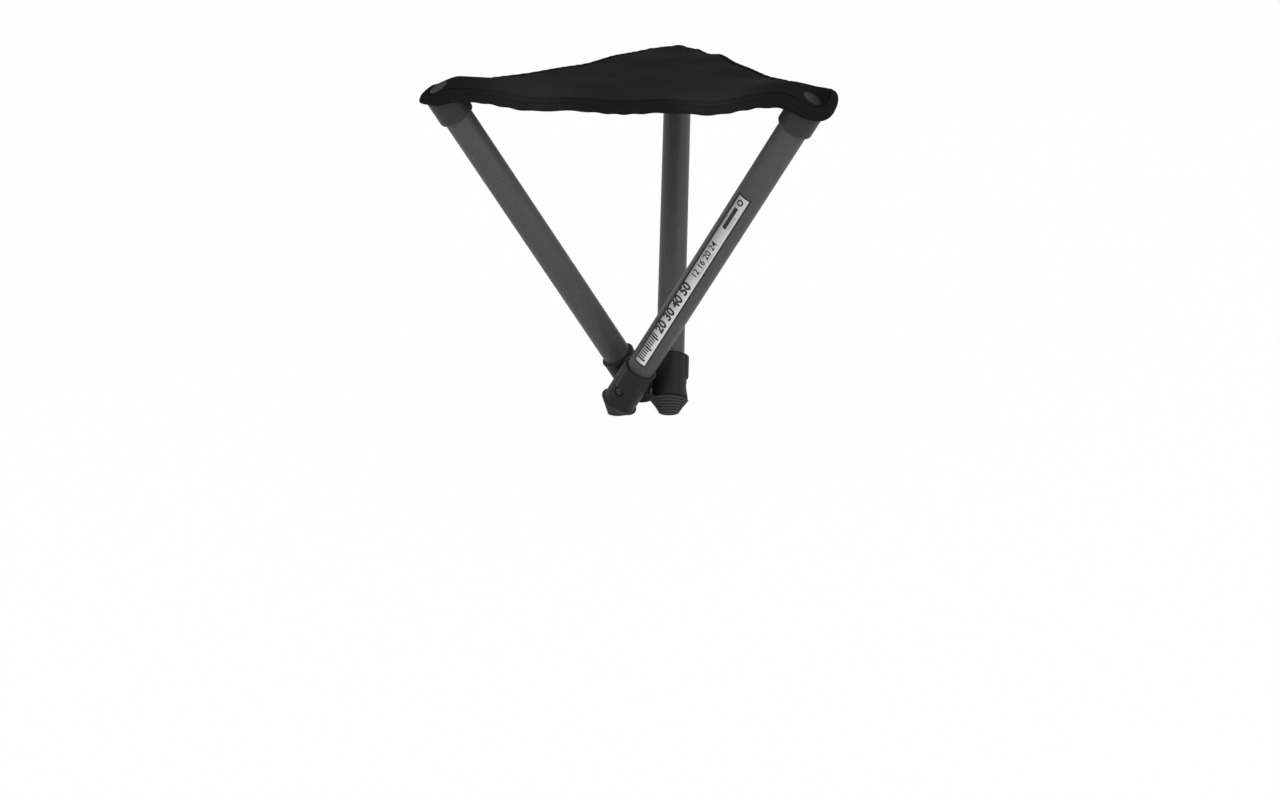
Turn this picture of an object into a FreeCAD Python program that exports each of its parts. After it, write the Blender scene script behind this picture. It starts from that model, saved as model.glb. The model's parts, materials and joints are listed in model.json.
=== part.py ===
"""Folding stool on three telescopic legs, shown open with its legs pushed in.

The origin is on the ground, under the hub. +Z is up and the rear corner of the seat is towards +Y.
Each leg leans past the hub, so its pieces are drawn in the leg's own directions: X points outwards
along the pivot, Z runs up the leg, and heights are measured up the leg from the pivot.
"""
import FreeCAD, Part
import math
import os
import re
import Sketcher

SIZES = {
    # the stance
    "hub_height": 25.1,
    "leg_offset": 23.73,
    "leg_tilt": 33.2,
    "leg_overlap": 69.0,
    # tubes
    "tube_radius": 12.5,
    "tube_wall": 1.2,
    "tube_top": 314.0,
    "lower_tube_radius": 10.5,
    "lower_tube_wall": 1.2,
    "lower_tube_headroom": 33.0,
    "lower_tube_below": 20.0,
    # clearances
    "fixed_fit": 0.02,
    "running_fit": 0.06,
    "stop_gap": 0.3,
    "cloth_gap": 0.3,
    # joint collar
    "collar_below": 15.3,
    "collar_above": 24.5,
    "collar_low_radius": 14.1,
    "collar_radius": 14.6,
    "collar_rim_radius": 15.1,
    "collar_rim_height": 1.6,
    "collar_rim_slope": 0.7,
    "collar_lip": 1.5,
    "spine_offset": 8.8,
    "spine_lug_radius": 8.0,
    "spine_waist_radius": 5.3,
    "spine_flare_radius": 7.6,
    "spine_lug_low": 3.6,
    "spine_lug_chamfer": 1.2,
    "spine_waist_top": 1.8,
    "spine_waist_low": 2.6,
    "spine_flare_band": 1.4,
    "pivot_boss_radius": 7.0,
    # pivot pin and hub
    "pin_radius": 2.5,
    "pin_head_radius": 4.5,
    "pin_head_thickness": 1.2,
    "pin_head_gap": 0.2,
    "pin_tip_gap": 0.69,
    "hub_face": 7.33,
    "hub_gap": 0.1,
    "hub_half_height": 9.5,
    "hub_corner": 11.5,
    "hub_edge_chamfer": 1.0,
    # guide bushes
    "bush_flange": 1.0,
    "bush_sleeve": 8.0,
    "upper_bush_length": 19.0,
    "upper_bush_flange": 1.5,
    # release button
    "button_radius": 3.4,
    "button_height": 0.5,
    "button_length": 2.5,
    "button_seat": 12.6,
    "button_round": 0.6,
    "button_hole_gap": 0.2,
    # snap pin and its leaf spring
    "snap_radius": 3.2,
    "snap_round": 0.9,
    "snap_hole_gap": 0.15,
    "snap_tip_gap": 0.1,
    "spring_reach": 8.7,
    "spring_strip": 0.6,
    "spring_width": 6.0,
    "spring_arm": 24.0,
    "spring_end": 5.0,
    # rubber foot
    "foot_rim_radius": 16.4,
    "foot_neck_radius": 14.2,
    "foot_neck_height": 1.4,
    "foot_sole_radius": 9.0,
    "foot_sole_shift": 5.66,
    "foot_plug_height": 14.0,
    # top cap
    "cap_radius": 15.3,
    "cap_grip": 21.5,
    "cap_plate": 4.0,
    "cap_edge_round": 1.5,
    # seat corner pocket and rivet
    "pocket_radius": 19.5,
    "pocket_depth": 21.0,
    "pocket_cloth": 4.0,
    "pocket_round": 5.0,
    "rivet_head_radius": 8.3,
    "rivet_head": 2.0,
    "rivet_round": 1.2,
    "rivet_shank_radius": 3.0,
    # seat cloth
    "seat_dip": 6.0,
    "seat_cloth": 2.0,
    "hem_offset": 16.0,
    "hem_drop": 5.0,
    "hem_width": 2.6,
    "hem_setback": 9.0,
    # height label
    "label_low": 34.5,
    "label_length": 188.2,
    "label_sweep": 61.4,
    "label_turn": 2.7,
    "label_thickness": 0.15,
}
LEGS = ("rear", "left", "right")
LABELLED_LEG = "right"
LEG_STEP = 360.0 / len(LEGS)
HALF_STEP = LEG_STEP / 2
QUARTER = 90.0
REAR_CORNER = 90.0

doc = FreeCAD.newDocument("stool")
sheet = doc.addObject("Spreadsheet::Sheet", "sizes")
for row, (alias, number) in enumerate(SIZES.items(), start=1):
    sheet.set(f"A{row}", alias)
    sheet.set(f"B{row}", str(number))
    sheet.setAlias(f"B{row}", alias)
doc.recompute()
kept = []


def size(alias):
    """The value of one named cell."""
    return float(sheet.get(alias))


def bound(text):
    """The same sum with each size's name led by the sheet's name."""
    return re.sub(r"[a-z_]+", lambda word: "sizes." + word[0] if word[0] in SIZES else word[0], text)


# Where the pieces lie on a leg

pocket_top = size("tube_top") + size("cap_plate") + size("pocket_cloth")
tilt = math.radians(size("leg_tilt"))
corner_turn = math.degrees(math.atan2(pocket_top * math.sin(tilt), size("leg_offset")))
rear_azimuth = REAR_CORNER - corner_turn
seat_corner_radius = math.hypot(pocket_top * math.sin(tilt), size("leg_offset"))
sleeve_low = size("collar_lip") - size("collar_below")
tube_low = sleeve_low + size("bush_flange")
foot_rim = -size("collar_below") - size("stop_gap") - size("foot_neck_height")
cap_low = size("tube_top") - size("cap_grip")
pocket_low = pocket_top - size("pocket_depth")
lower_tube_top = size("tube_top") - size("lower_tube_headroom")
snap_height = size("tube_top") - size("leg_overlap") + size("button_height")
UP = FreeCAD.Vector(0, 0, 1)
# the distance of each pin's tip from the middle, where the three pins just clear each other
PIN_TIP = f"(pin_radius / tan({HALF_STEP:.0f}) + pin_tip_gap)"


def leg_directions(leg):
    """The outward, sideways and up-the-leg directions of one leg."""
    azimuth = math.radians(rear_azimuth + LEG_STEP * LEGS.index(leg))
    outward = FreeCAD.Vector(math.cos(azimuth), math.sin(azimuth), 0)
    lean = FreeCAD.Vector(-math.sin(azimuth), math.cos(azimuth), 0)
    up_leg = lean * math.sin(tilt) + UP * math.cos(tilt)
    return outward, up_leg.cross(outward), up_leg


def on_leg(leg, height, across=0.0, facing="up"):
    """The placement of a piece whose own Z points up the leg, outwards or inwards."""
    outward, sideways, up_leg = leg_directions(leg)
    pivot = outward * size("leg_offset") + UP * size("hub_height")
    turn = FreeCAD.Rotation(outward, sideways, up_leg, "XYZ")
    lean = {"up": 0, "outwards": QUARTER, "inwards": -QUARTER}[facing]
    own = FreeCAD.Rotation(FreeCAD.Vector(0, 1, 0), lean)
    return FreeCAD.Placement(pivot + up_leg * height + outward * across, turn.multiply(own))


# Ways of making a piece


def new_body(label):
    body = doc.addObject("PartDesign::Body", label)
    body.Label = label
    return body


def new_sketch(body, name, role, shift=None):
    """An empty sketch on one of the body's own origin planes."""
    sketch = body.newObject("Sketcher::SketchObject", name)
    own_plane = next(item for item in body.Origin.OriginFeatures if item.Role == role)
    sketch.AttachmentSupport = (own_plane, [""])
    sketch.MapMode = "FlatFace"
    if shift is not None:
        sketch.AttachmentOffset = shift
    return sketch


def hold(sketch, kind, geometry, end, text):
    """Holds one coordinate of a point to a sum of sizes, or to the axis where the sum is 0."""
    if text == "0":
        axis = -2 if kind == "DistanceX" else -1
        sketch.addConstraint(Sketcher.Constraint("PointOnObject", geometry, end, axis))
        return
    point = sketch.getPoint(geometry, end)
    now = point.x if kind == "DistanceX" else point.y
    index = sketch.addConstraint(Sketcher.Constraint(kind, -1, 1, geometry, end, now))
    sketch.setExpression(f"Constraints[{index}]", bound(text))


def outline(body, name, role, corners, shift=None):
    """A closed sketch of straight lines through corners, each given as two sums of sizes.

    It starts as a regular figure that lies off both axes, and the constraints draw it to its sizes.
    """
    sketch = new_sketch(body, name, role, shift)
    count = len(corners)
    turn = 2 * math.pi / count
    middle = FreeCAD.Vector(count, count, 0)
    start = [middle + FreeCAD.Vector(math.cos(turn * i), math.sin(turn * i), 0) for i in range(count)]
    for i in range(count):
        sketch.addGeometry(Part.LineSegment(start[i], start[(i + 1) % count]))
    for i in range(count):
        sketch.addConstraint(Sketcher.Constraint("Coincident", i, 2, (i + 1) % count, 1))
    for i, (across, along) in enumerate(corners):
        hold(sketch, "DistanceX", i, 1, across)
        hold(sketch, "DistanceY", i, 1, along)
    return sketch


def disc(body, name, role, radius, along="0", shift=None):
    """A sketch with one circle on the sketch's upright axis."""
    sketch = new_sketch(body, name, role, shift)
    sketch.addGeometry(Part.Circle(FreeCAD.Vector(0, 1, 0), FreeCAD.Vector(0, 0, 1), 1))
    hold(sketch, "DistanceX", 0, 3, "0")
    hold(sketch, "DistanceY", 0, 3, along)
    index = sketch.addConstraint(Sketcher.Constraint("Radius", 0, 1.0))
    sketch.setExpression(f"Constraints[{index}]", bound(radius))
    return sketch


def turned(body, name, corners, shift=None, cut=False, sweep="360"):
    """Turns an outline of (radius, height) corners about the upright axis, as metal or as a groove."""
    sketch = outline(body, name + "_profile", "XZ_Plane", corners, shift)
    before = body.Shape.Volume if cut else 0.0
    feature = body.newObject("PartDesign::Groove" if cut else "PartDesign::Revolution", name)
    feature.Profile = sketch
    feature.ReferenceAxis = (sketch, ["V_Axis"])
    feature.setExpression("Angle", bound(sweep))
    doc.recompute()
    if cut and not feature.Shape.Volume < before:
        raise ValueError(f"{body.Label}: {name} cuts nothing")
    return feature


def raised(body, name, sketch, length, towards_plane=False):
    """Pads a sketch by a sum of sizes."""
    pad = body.newObject("PartDesign::Pad", name)
    pad.Profile = sketch
    pad.setExpression("Length", bound(length))
    pad.Reversed = towards_plane
    doc.recompute()
    return pad


def drilled(body, name, sketch, length, reverse):
    """Pockets a sketch by a sum of sizes, and checks that it cuts."""
    before = body.Shape.Volume
    pocket = body.newObject("PartDesign::Pocket", name)
    pocket.Profile = sketch
    pocket.setExpression("Length", bound(length))
    pocket.Reversed = reverse
    doc.recompute()
    if not pocket.Shape.Volume < before:
        raise ValueError(f"{body.Label}: {name} cuts nothing")
    return pocket


def rounded(body, name, radius, ring, kind="PartDesign::Fillet"):
    """Rounds or bevels the circular edges of one radius and height, given as numbers."""
    base = body.Tip
    near = 1e-4
    edges = [
        f"Edge{i}"
        for i, edge in enumerate(base.Shape.Edges, start=1)
        if isinstance(edge.Curve, Part.Circle)
        and abs(edge.Curve.Radius - ring[0]) < near
        and abs(edge.Curve.Center.z - ring[1]) < near
    ]
    feature = body.newObject(kind, name)
    feature.Base = (base, edges)
    feature.setExpression("Radius" if kind.endswith("Fillet") else "Size", bound(radius))
    doc.recompute()
    return feature


def keep(piece, placement):
    """Puts a finished piece in its place and lists it for writing."""
    piece.Placement = placement
    kept.append(piece)
    return piece


# The pieces of one leg


def upper_tube(leg):
    body = new_body(f"{leg}_upper_tube")
    length = "tube_top + collar_below - collar_lip - bush_flange"
    turned(body, "tube", [
        ("tube_radius - tube_wall", "0"),
        ("tube_radius", "0"),
        ("tube_radius", length),
        ("tube_radius - tube_wall", length),
    ])
    hole = disc(
        body, "button_hole_outline", "YZ_Plane", "button_radius + button_hole_gap",
        "button_height + collar_below - collar_lip - bush_flange",
    )
    drilled(body, "button_hole", hole, "tube_radius + tube_wall", reverse=True)
    keep(body, on_leg(leg, tube_low))


def joint_collar(leg):
    body = new_body(f"{leg}_joint_collar")
    top = "collar_below + collar_above"
    turned(body, "barrel", [
        ("0", "0"),
        ("collar_low_radius", "0"),
        ("collar_low_radius", "collar_below"),
        ("collar_radius", f"{top} - collar_rim_height - collar_rim_slope"),
        ("collar_rim_radius", f"{top} - collar_rim_height"),
        ("collar_rim_radius", top),
        ("0", top),
    ])
    turned(body, "spine", [
        ("0", "0"),
        ("spine_flare_radius", "0"),
        ("spine_flare_radius", "spine_flare_band"),
        ("spine_waist_radius", "collar_below - spine_waist_low"),
        ("spine_waist_radius", "collar_below + spine_waist_top"),
        ("spine_lug_radius", "collar_below + spine_lug_low"),
        ("spine_lug_radius", f"{top} - spine_lug_chamfer"),
        ("spine_lug_radius - spine_lug_chamfer", top),
        ("0", top),
    ], shift=FreeCAD.Placement(FreeCAD.Vector(size("spine_offset"), 0, 0), FreeCAD.Rotation()))
    boss = disc(body, "boss_outline", "YZ_Plane", "pivot_boss_radius", "collar_below")
    raised(body, "boss", boss, "leg_offset - hub_face - hub_gap", towards_plane=True)
    turned(body, "bore", [
        ("0", "0"),
        ("lower_tube_radius + stop_gap", "0"),
        ("lower_tube_radius + stop_gap", "collar_lip"),
        ("tube_radius + fixed_fit", "collar_lip"),
        ("tube_radius + fixed_fit", top),
        ("0", top),
    ], cut=True)
    button = disc(
        body, "button_bore_outline", "YZ_Plane", "button_radius + running_fit",
        "collar_below + button_height",
    )
    drilled(body, "button_bore", button, "spine_offset + spine_lug_radius", reverse=True)
    pin = disc(body, "pin_bore_outline", "YZ_Plane", "pin_radius + running_fit", "collar_below")
    drilled(body, "pin_bore", pin, "leg_offset - hub_face", reverse=False)
    recess = disc(
        body, "pin_head_recess_outline", "YZ_Plane", "pin_head_radius + pin_head_gap", "collar_below"
    )
    depth = "tube_radius + pin_head_thickness + 2 * pin_head_gap"
    drilled(body, "pin_head_recess", recess, depth, reverse=False)
    keep(body, on_leg(leg, -size("collar_below")))


def lower_guide_bush(leg):
    body = new_body(f"{leg}_lower_guide_bush")
    turned(body, "bush", [
        ("lower_tube_radius + running_fit", "0"),
        ("tube_radius", "0"),
        ("tube_radius", "bush_flange"),
        ("tube_radius - tube_wall - fixed_fit", "bush_flange"),
        ("tube_radius - tube_wall - fixed_fit", "bush_flange + bush_sleeve"),
        ("lower_tube_radius + running_fit", "bush_flange + bush_sleeve"),
    ])
    keep(body, on_leg(leg, sleeve_low))


def top_cap(leg):
    body = new_body(f"{leg}_top_cap")
    top = "cap_grip + cap_plate"
    turned(body, "cap", [
        ("rivet_shank_radius + fixed_fit", "cap_grip"),
        ("tube_radius + fixed_fit", "cap_grip"),
        ("tube_radius + fixed_fit", "0"),
        ("cap_radius", "0"),
        ("cap_radius", top),
        ("rivet_shank_radius + fixed_fit", top),
    ])
    rim = size("cap_grip") + size("cap_plate")
    rounded(body, "top_edge", "cap_edge_round", (size("cap_radius"), rim))
    keep(body, on_leg(leg, cap_low))


def corner_pocket(leg):
    body = new_body(f"{leg}_corner_pocket")
    ceiling = "pocket_depth - pocket_cloth"
    turned(body, "pocket", [
        ("rivet_shank_radius + running_fit", ceiling),
        ("cap_radius + fixed_fit", ceiling),
        ("cap_radius + fixed_fit", "0"),
        ("pocket_radius", "0"),
        ("pocket_radius", "pocket_depth"),
        ("rivet_shank_radius + running_fit", "pocket_depth"),
    ])
    rounded(body, "nose", "pocket_round", (size("pocket_radius"), size("pocket_depth")))
    keep(body, on_leg(leg, pocket_low))


def seat_rivet(leg):
    body = new_body(f"{leg}_seat_rivet")
    shank = "pocket_cloth + cap_plate"
    turned(body, "rivet", [
        ("0", "0"),
        ("rivet_shank_radius", "0"),
        ("rivet_shank_radius", shank),
        ("rivet_head_radius", shank),
        ("rivet_head_radius", f"{shank} + rivet_head"),
        ("0", f"{shank} + rivet_head"),
    ])
    face = size("pocket_cloth") + size("cap_plate") + size("rivet_head")
    rounded(body, "head_edge", "rivet_round", (size("rivet_head_radius"), face))
    keep(body, on_leg(leg, size("tube_top")))


def pivot_pin(leg):
    body = new_body(f"{leg}_pivot_pin")
    head = "pin_head_thickness"
    shank = f"leg_offset - {PIN_TIP} - tube_radius - pin_head_gap"
    turned(body, "pin", [
        ("0", "0"),
        ("pin_head_radius", "0"),
        ("pin_head_radius", head),
        ("pin_radius", head),
        ("pin_radius", shank),
        ("0", shank),
    ])
    across = -(size("tube_radius") + size("pin_head_gap"))
    keep(body, on_leg(leg, 0, across, "inwards"))


def release_button(leg):
    body = new_body(f"{leg}_release_button")
    turned(body, "button", [
        ("0", "0"),
        ("button_radius", "0"),
        ("button_radius", "button_length"),
        ("0", "button_length"),
    ])
    rounded(body, "finger_edge", "button_round", (size("button_radius"), size("button_length")))
    keep(body, on_leg(leg, size("button_height"), size("button_seat"), "outwards"))


def lower_tube(leg):
    body = new_body(f"{leg}_lower_tube")
    length = "tube_top - lower_tube_headroom + lower_tube_below"
    turned(body, "tube", [
        ("lower_tube_radius - lower_tube_wall", "0"),
        ("lower_tube_radius", "0"),
        ("lower_tube_radius", length),
        ("lower_tube_radius - lower_tube_wall", length),
    ])
    hole = disc(
        body, "snap_hole_outline", "YZ_Plane", "snap_radius + snap_hole_gap",
        "tube_top - leg_overlap + button_height + lower_tube_below",
    )
    drilled(body, "snap_hole", hole, "lower_tube_radius + lower_tube_wall", reverse=True)
    keep(body, on_leg(leg, -size("lower_tube_below")))


def upper_guide_bush(leg):
    body = new_body(f"{leg}_upper_guide_bush")
    slide = "tube_radius - tube_wall - running_fit"
    turned(body, "bush", [
        ("lower_tube_radius + fixed_fit", "0"),
        (slide, "0"),
        (slide, "upper_bush_length + upper_bush_flange"),
        ("lower_tube_radius - lower_tube_wall", "upper_bush_length + upper_bush_flange"),
        ("lower_tube_radius - lower_tube_wall", "upper_bush_length"),
        ("lower_tube_radius + fixed_fit", "upper_bush_length"),
    ])
    keep(body, on_leg(leg, lower_tube_top - size("upper_bush_length")))


def snap_pin(leg):
    """A round-nosed pin whose flat tip just clears the upper tube's round bore."""
    body = new_body(f"{leg}_snap_pin")
    flat = "(snap_radius - snap_round)"
    length = f"sqrt((tube_radius - tube_wall - snap_tip_gap) ^ 2 - {flat} ^ 2) - spring_reach"
    turned(body, "pin", [
        ("0", "0"),
        ("snap_radius", "0"),
        ("snap_radius", length),
        ("0", length),
    ])
    rounded(body, "tip_edge", "snap_round", (size("snap_radius"), body.Shape.BoundBox.ZMax))
    keep(body, on_leg(leg, snap_height, size("spring_reach"), "outwards"))


def snap_spring(leg):
    """A flat strip bent into a U, with the pin on one arm and the tube's wall behind the other."""
    reach = size("spring_reach")
    bend = -size("spring_arm")
    inner = reach - size("spring_strip")
    end = size("spring_end")
    half_width = size("spring_width") / 2

    def arm(across, top, bottom):
        return Part.LineSegment(
            FreeCAD.Vector(across, -half_width, top), FreeCAD.Vector(across, -half_width, bottom)
        ).toShape()

    def across_bend(radius):
        ends = (FreeCAD.Vector(side * radius, -half_width, bend) for side in (1, -1))
        low = FreeCAD.Vector(0, -half_width, bend - radius)
        first, last = ends
        return Part.Arc(first, low, last).toShape()

    def tip(side):
        return Part.LineSegment(
            FreeCAD.Vector(side * inner, -half_width, end), FreeCAD.Vector(side * reach, -half_width, end)
        ).toShape()

    edges = [arm(side * width, end, bend) for side in (1, -1) for width in (reach, inner)]
    edges += [across_bend(reach), across_bend(inner), tip(1), tip(-1)]
    wire = Part.Wire(Part.__sortEdges__(edges))
    spring = doc.addObject("Part::Feature", f"{leg}_snap_spring")
    spring.Label = f"{leg}_snap_spring"
    spring.Shape = Part.Face(wire).extrude(FreeCAD.Vector(0, size("spring_width"), 0))
    keep(spring, on_leg(leg, snap_height))


def rubber_foot(leg):
    """A boot whose round rim is square to the leg and whose round sole lies on the ground."""
    body = new_body(f"{leg}_rubber_foot")
    rim = disc(body, "rim_outline", "XY_Plane", "foot_rim_radius")
    drop = size("hub_height") / math.cos(tilt) + foot_rim
    sole_centre = FreeCAD.Vector(
        0,
        size("foot_sole_shift") * math.cos(tilt),
        -drop + size("foot_sole_shift") * math.sin(tilt),
    )
    level = FreeCAD.Rotation(FreeCAD.Vector(1, 0, 0), size("leg_tilt"))
    sole = disc(
        body, "sole_outline", "XY_Plane", "foot_sole_radius", shift=FreeCAD.Placement(sole_centre, level)
    )
    boot = body.newObject("PartDesign::AdditiveLoft", "boot")
    boot.Profile = rim
    boot.Sections = [sole]
    boot.Ruled = True
    doc.recompute()
    plug = "foot_neck_height + foot_plug_height"
    turned(body, "neck_and_plug", [
        ("0", "0"),
        ("foot_rim_radius", "0"),
        ("foot_neck_radius", "foot_neck_height"),
        ("lower_tube_radius - lower_tube_wall - fixed_fit", "foot_neck_height"),
        ("lower_tube_radius - lower_tube_wall - fixed_fit", plug),
        ("0", plug),
    ])
    depth = size("lower_tube_below") + foot_rim
    socket_top = "lower_tube_below - collar_below - stop_gap"
    turned(body, "tube_socket", [
        ("lower_tube_radius - lower_tube_wall - fixed_fit", "0"),
        ("lower_tube_radius + fixed_fit", "0"),
        ("lower_tube_radius + fixed_fit", socket_top),
        ("lower_tube_radius - lower_tube_wall - fixed_fit", socket_top),
    ], shift=FreeCAD.Placement(FreeCAD.Vector(0, -depth, 0), FreeCAD.Rotation()), cut=True)
    keep(body, on_leg(leg, foot_rim))


def height_label(leg):
    body = new_body("height_label")
    turned(body, "plate", [
        ("tube_radius + fixed_fit", "0"),
        ("tube_radius + fixed_fit + label_thickness", "0"),
        ("tube_radius + fixed_fit + label_thickness", "label_length"),
        ("tube_radius + fixed_fit", "label_length"),
    ], sweep="label_sweep")
    place = on_leg(leg, size("label_low"))
    start = size("label_turn") - size("label_sweep") / 2
    place.Rotation = place.Rotation.multiply(FreeCAD.Rotation(UP, start))
    keep(body, place)


# The pieces in the middle


def central_hub():
    """A round block with one flat face and one pin bore for each collar."""
    body = new_body("central_hub")
    block = disc(body, "block_outline", "XY_Plane", "hub_corner")
    raised(body, "block", block, "2 * hub_half_height")
    for edge_height in (0, 2 * size("hub_half_height")):
        rounded(
            body, f"bevel_{edge_height:.0f}", "hub_edge_chamfer", (size("hub_corner"), edge_height),
            "PartDesign::Chamfer",
        )
    past_corners = "hub_corner + hub_half_height"
    face = disc(body, "face_outline", "YZ_Plane", past_corners, "hub_half_height")
    face.setExpression("AttachmentOffset.Base.z", bound("hub_face"))
    flat = drilled(body, "face", face, "hub_corner", reverse=True)
    hole = disc(body, "bore_outline", "YZ_Plane", "pin_radius + fixed_fit", "hub_half_height")
    hole.setExpression("AttachmentOffset.Base.z", bound(PIN_TIP))
    bore = drilled(body, "bore", hole, "hub_corner", reverse=True)
    pattern = body.newObject("PartDesign::PolarPattern", "faces_and_bores")
    pattern.Originals = [flat, bore]
    pattern.Axis = (next(item for item in body.Origin.OriginFeatures if item.Role == "Z_Axis"), [""])
    pattern.Angle = 360
    pattern.Occurrences = len(LEGS)
    body.Tip = pattern
    low = UP * (size("hub_height") - size("hub_half_height"))
    keep(body, FreeCAD.Placement(low, FreeCAD.Rotation(UP, rear_azimuth)))


def seat_panel(leg, neighbour, step):
    """A sixth of the seat: from one corner to the middle of a hem and the middle of the seat."""
    name = f"{leg}_{neighbour}_seat_panel"
    body = new_body(name + "_cloth")
    reach = "sqrt((sin(leg_tilt) * (tube_top + cap_plate + pocket_cloth)) ^ 2 + leg_offset ^ 2)"
    half = f"{HALF_STEP:.0f}"
    hem = f"{reach} * cos({half}) + hem_offset"
    end = f"{reach} * sin({half})"
    gap = "cloth_gap / 2"
    corners = [
        (f"{gap} / tan({half} / 2)", gap),
        (f"{reach} * cos({half}) + {gap} * sin({half})", f"{end} - {gap} * cos({half})"),
        (hem, f"{end} - hem_setback"),
        (hem, gap),
    ]
    fold = [
        (f"{hem} - hem_width", gap),
        (hem, gap),
        (hem, f"{end} - hem_setback"),
        (f"{hem} - hem_width", f"{end} - hem_setback"),
    ]
    if step > 0:
        corners, fold = ([pair[::-1] for pair in points] for points in (corners, fold))
    raised(body, "cloth", outline(body, "cloth_outline", "XY_Plane", corners), "seat_cloth")
    strip = outline(body, "hem_outline", "XY_Plane", fold)
    raised(body, "hem", strip, "hem_drop", towards_plane=True)
    corner = REAR_CORNER + LEG_STEP * LEGS.index(leg)
    turn = corner - HALF_STEP if step < 0 else corner + HALF_STEP - QUARTER
    height = size("hub_height") + pocket_top * math.cos(tilt) - size("seat_dip") - size("seat_cloth")
    body.Placement = FreeCAD.Placement(UP * height, FreeCAD.Rotation(UP, turn))
    room = doc.addObject("Part::Cylinder", name + "_room")
    room.setExpression("Radius", bound("pocket_radius + cloth_gap"))
    room.setExpression("Height", bound("tube_top + cap_plate + pocket_cloth"))
    room.Placement = on_leg(leg, pocket_top / 2)
    panel = doc.addObject("Part::Cut", name)
    panel.Label = name
    panel.Base = body
    panel.Tool = room
    kept.append(panel)


for leg in LEGS:
    upper_tube(leg)
    joint_collar(leg)
    lower_guide_bush(leg)
    top_cap(leg)
    corner_pocket(leg)
    seat_rivet(leg)
    pivot_pin(leg)
    release_button(leg)
    lower_tube(leg)
    upper_guide_bush(leg)
    snap_pin(leg)
    snap_spring(leg)
    rubber_foot(leg)
height_label(LABELLED_LEG)
central_hub()
for leg in LEGS:
    for step in (-1, 1):
        seat_panel(leg, LEGS[(LEGS.index(leg) + step) % len(LEGS)], step)

doc.recompute()
for item in doc.Objects:
    if "Invalid" in item.State or "Error" in item.State:
        raise ValueError(f"{item.Label} failed: {item.State}")
os.makedirs("parts", exist_ok=True)
for piece in kept:
    if piece.Shape.isNull() or not piece.Shape.isValid():
        raise ValueError(f"{piece.Label} has no sound shape")
    piece.Shape.exportStep(f"parts/{piece.Label}.step")
    print(piece.Label, round(piece.Shape.Volume, 1), len(piece.Shape.Solids))
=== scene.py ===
"""Looks of a folding stool on three telescopic legs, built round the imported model.

Shapes are worked out in millimetres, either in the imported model's own frame or in one leg's
directions, and are turned to metres in the shared frame when their mesh is made.
"""
import json
import logging
import math
from dataclasses import dataclass, field
from enum import Enum
from functools import reduce
from typing import Callable

import bmesh
import bpy
import numpy as np
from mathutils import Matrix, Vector


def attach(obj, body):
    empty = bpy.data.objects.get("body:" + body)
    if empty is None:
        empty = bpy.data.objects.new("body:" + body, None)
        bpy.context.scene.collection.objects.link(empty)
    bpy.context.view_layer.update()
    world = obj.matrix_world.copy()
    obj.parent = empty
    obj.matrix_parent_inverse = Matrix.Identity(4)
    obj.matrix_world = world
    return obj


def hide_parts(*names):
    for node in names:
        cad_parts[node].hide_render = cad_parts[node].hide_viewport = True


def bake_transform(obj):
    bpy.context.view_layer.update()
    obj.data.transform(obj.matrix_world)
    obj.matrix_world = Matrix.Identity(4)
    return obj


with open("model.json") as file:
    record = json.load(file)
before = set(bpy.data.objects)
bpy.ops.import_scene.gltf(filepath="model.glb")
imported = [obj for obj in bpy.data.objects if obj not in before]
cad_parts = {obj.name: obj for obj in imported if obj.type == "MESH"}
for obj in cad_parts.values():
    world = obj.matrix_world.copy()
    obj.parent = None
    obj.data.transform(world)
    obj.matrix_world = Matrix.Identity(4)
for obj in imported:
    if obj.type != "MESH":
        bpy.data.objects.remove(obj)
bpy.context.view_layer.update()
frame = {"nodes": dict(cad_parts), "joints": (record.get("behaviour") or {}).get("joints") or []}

# A millimetre in metres, the millimetres within which points merge, a distance in millimetres
# that no seam has, the angle in degrees past which an edge is sharp, and plain white

MM = 0.001
WELD = 0.001
FAR = 50.0
CREASE = 32.0
WHITE = (1.0, 1.0, 1.0, 1.0)
LEGS = ("rear", "left", "right")
LABELLED_LEG = "right"
UP = np.array([0.0, 0.0, 1.0])
Placing = Callable[[np.ndarray], np.ndarray]
log = logging.getLogger("stool")


def unit(vector: np.ndarray) -> np.ndarray:
    """Vectors of the same directions and length 1."""
    return vector / np.maximum(np.linalg.norm(vector, axis=-1, keepdims=True), 1e-12)


def eased(value: np.ndarray, low: float, high: float) -> np.ndarray:
    """A smooth step: 0 up to low, 1 from high, and 3t^2 - 2t^3 between them."""
    t = np.clip((value - low) / (high - low), 0.0, 1.0)
    return t * t * (3.0 - 2.0 * t)


def bell(value: np.ndarray, width: float | np.ndarray) -> np.ndarray:
    """A bell of height 1: e to the power of -(value / width)^2."""
    return np.exp(-((value / width) ** 2))


def soft_min(a: np.ndarray, b: np.ndarray, width: float) -> np.ndarray:
    """The lesser of two heights, rounded by a parabola where they differ by less than width."""
    share = np.maximum(width - np.abs(a - b), 0.0) / width
    return np.minimum(a, b) - share * share * width / 4.0


# The frame that the pieces hang on


@dataclass(frozen=True)
class Extent:
    """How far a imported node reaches, in one leg's directions, in millimetres."""

    low: float
    high: float
    radius: float
    reach: float


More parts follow.
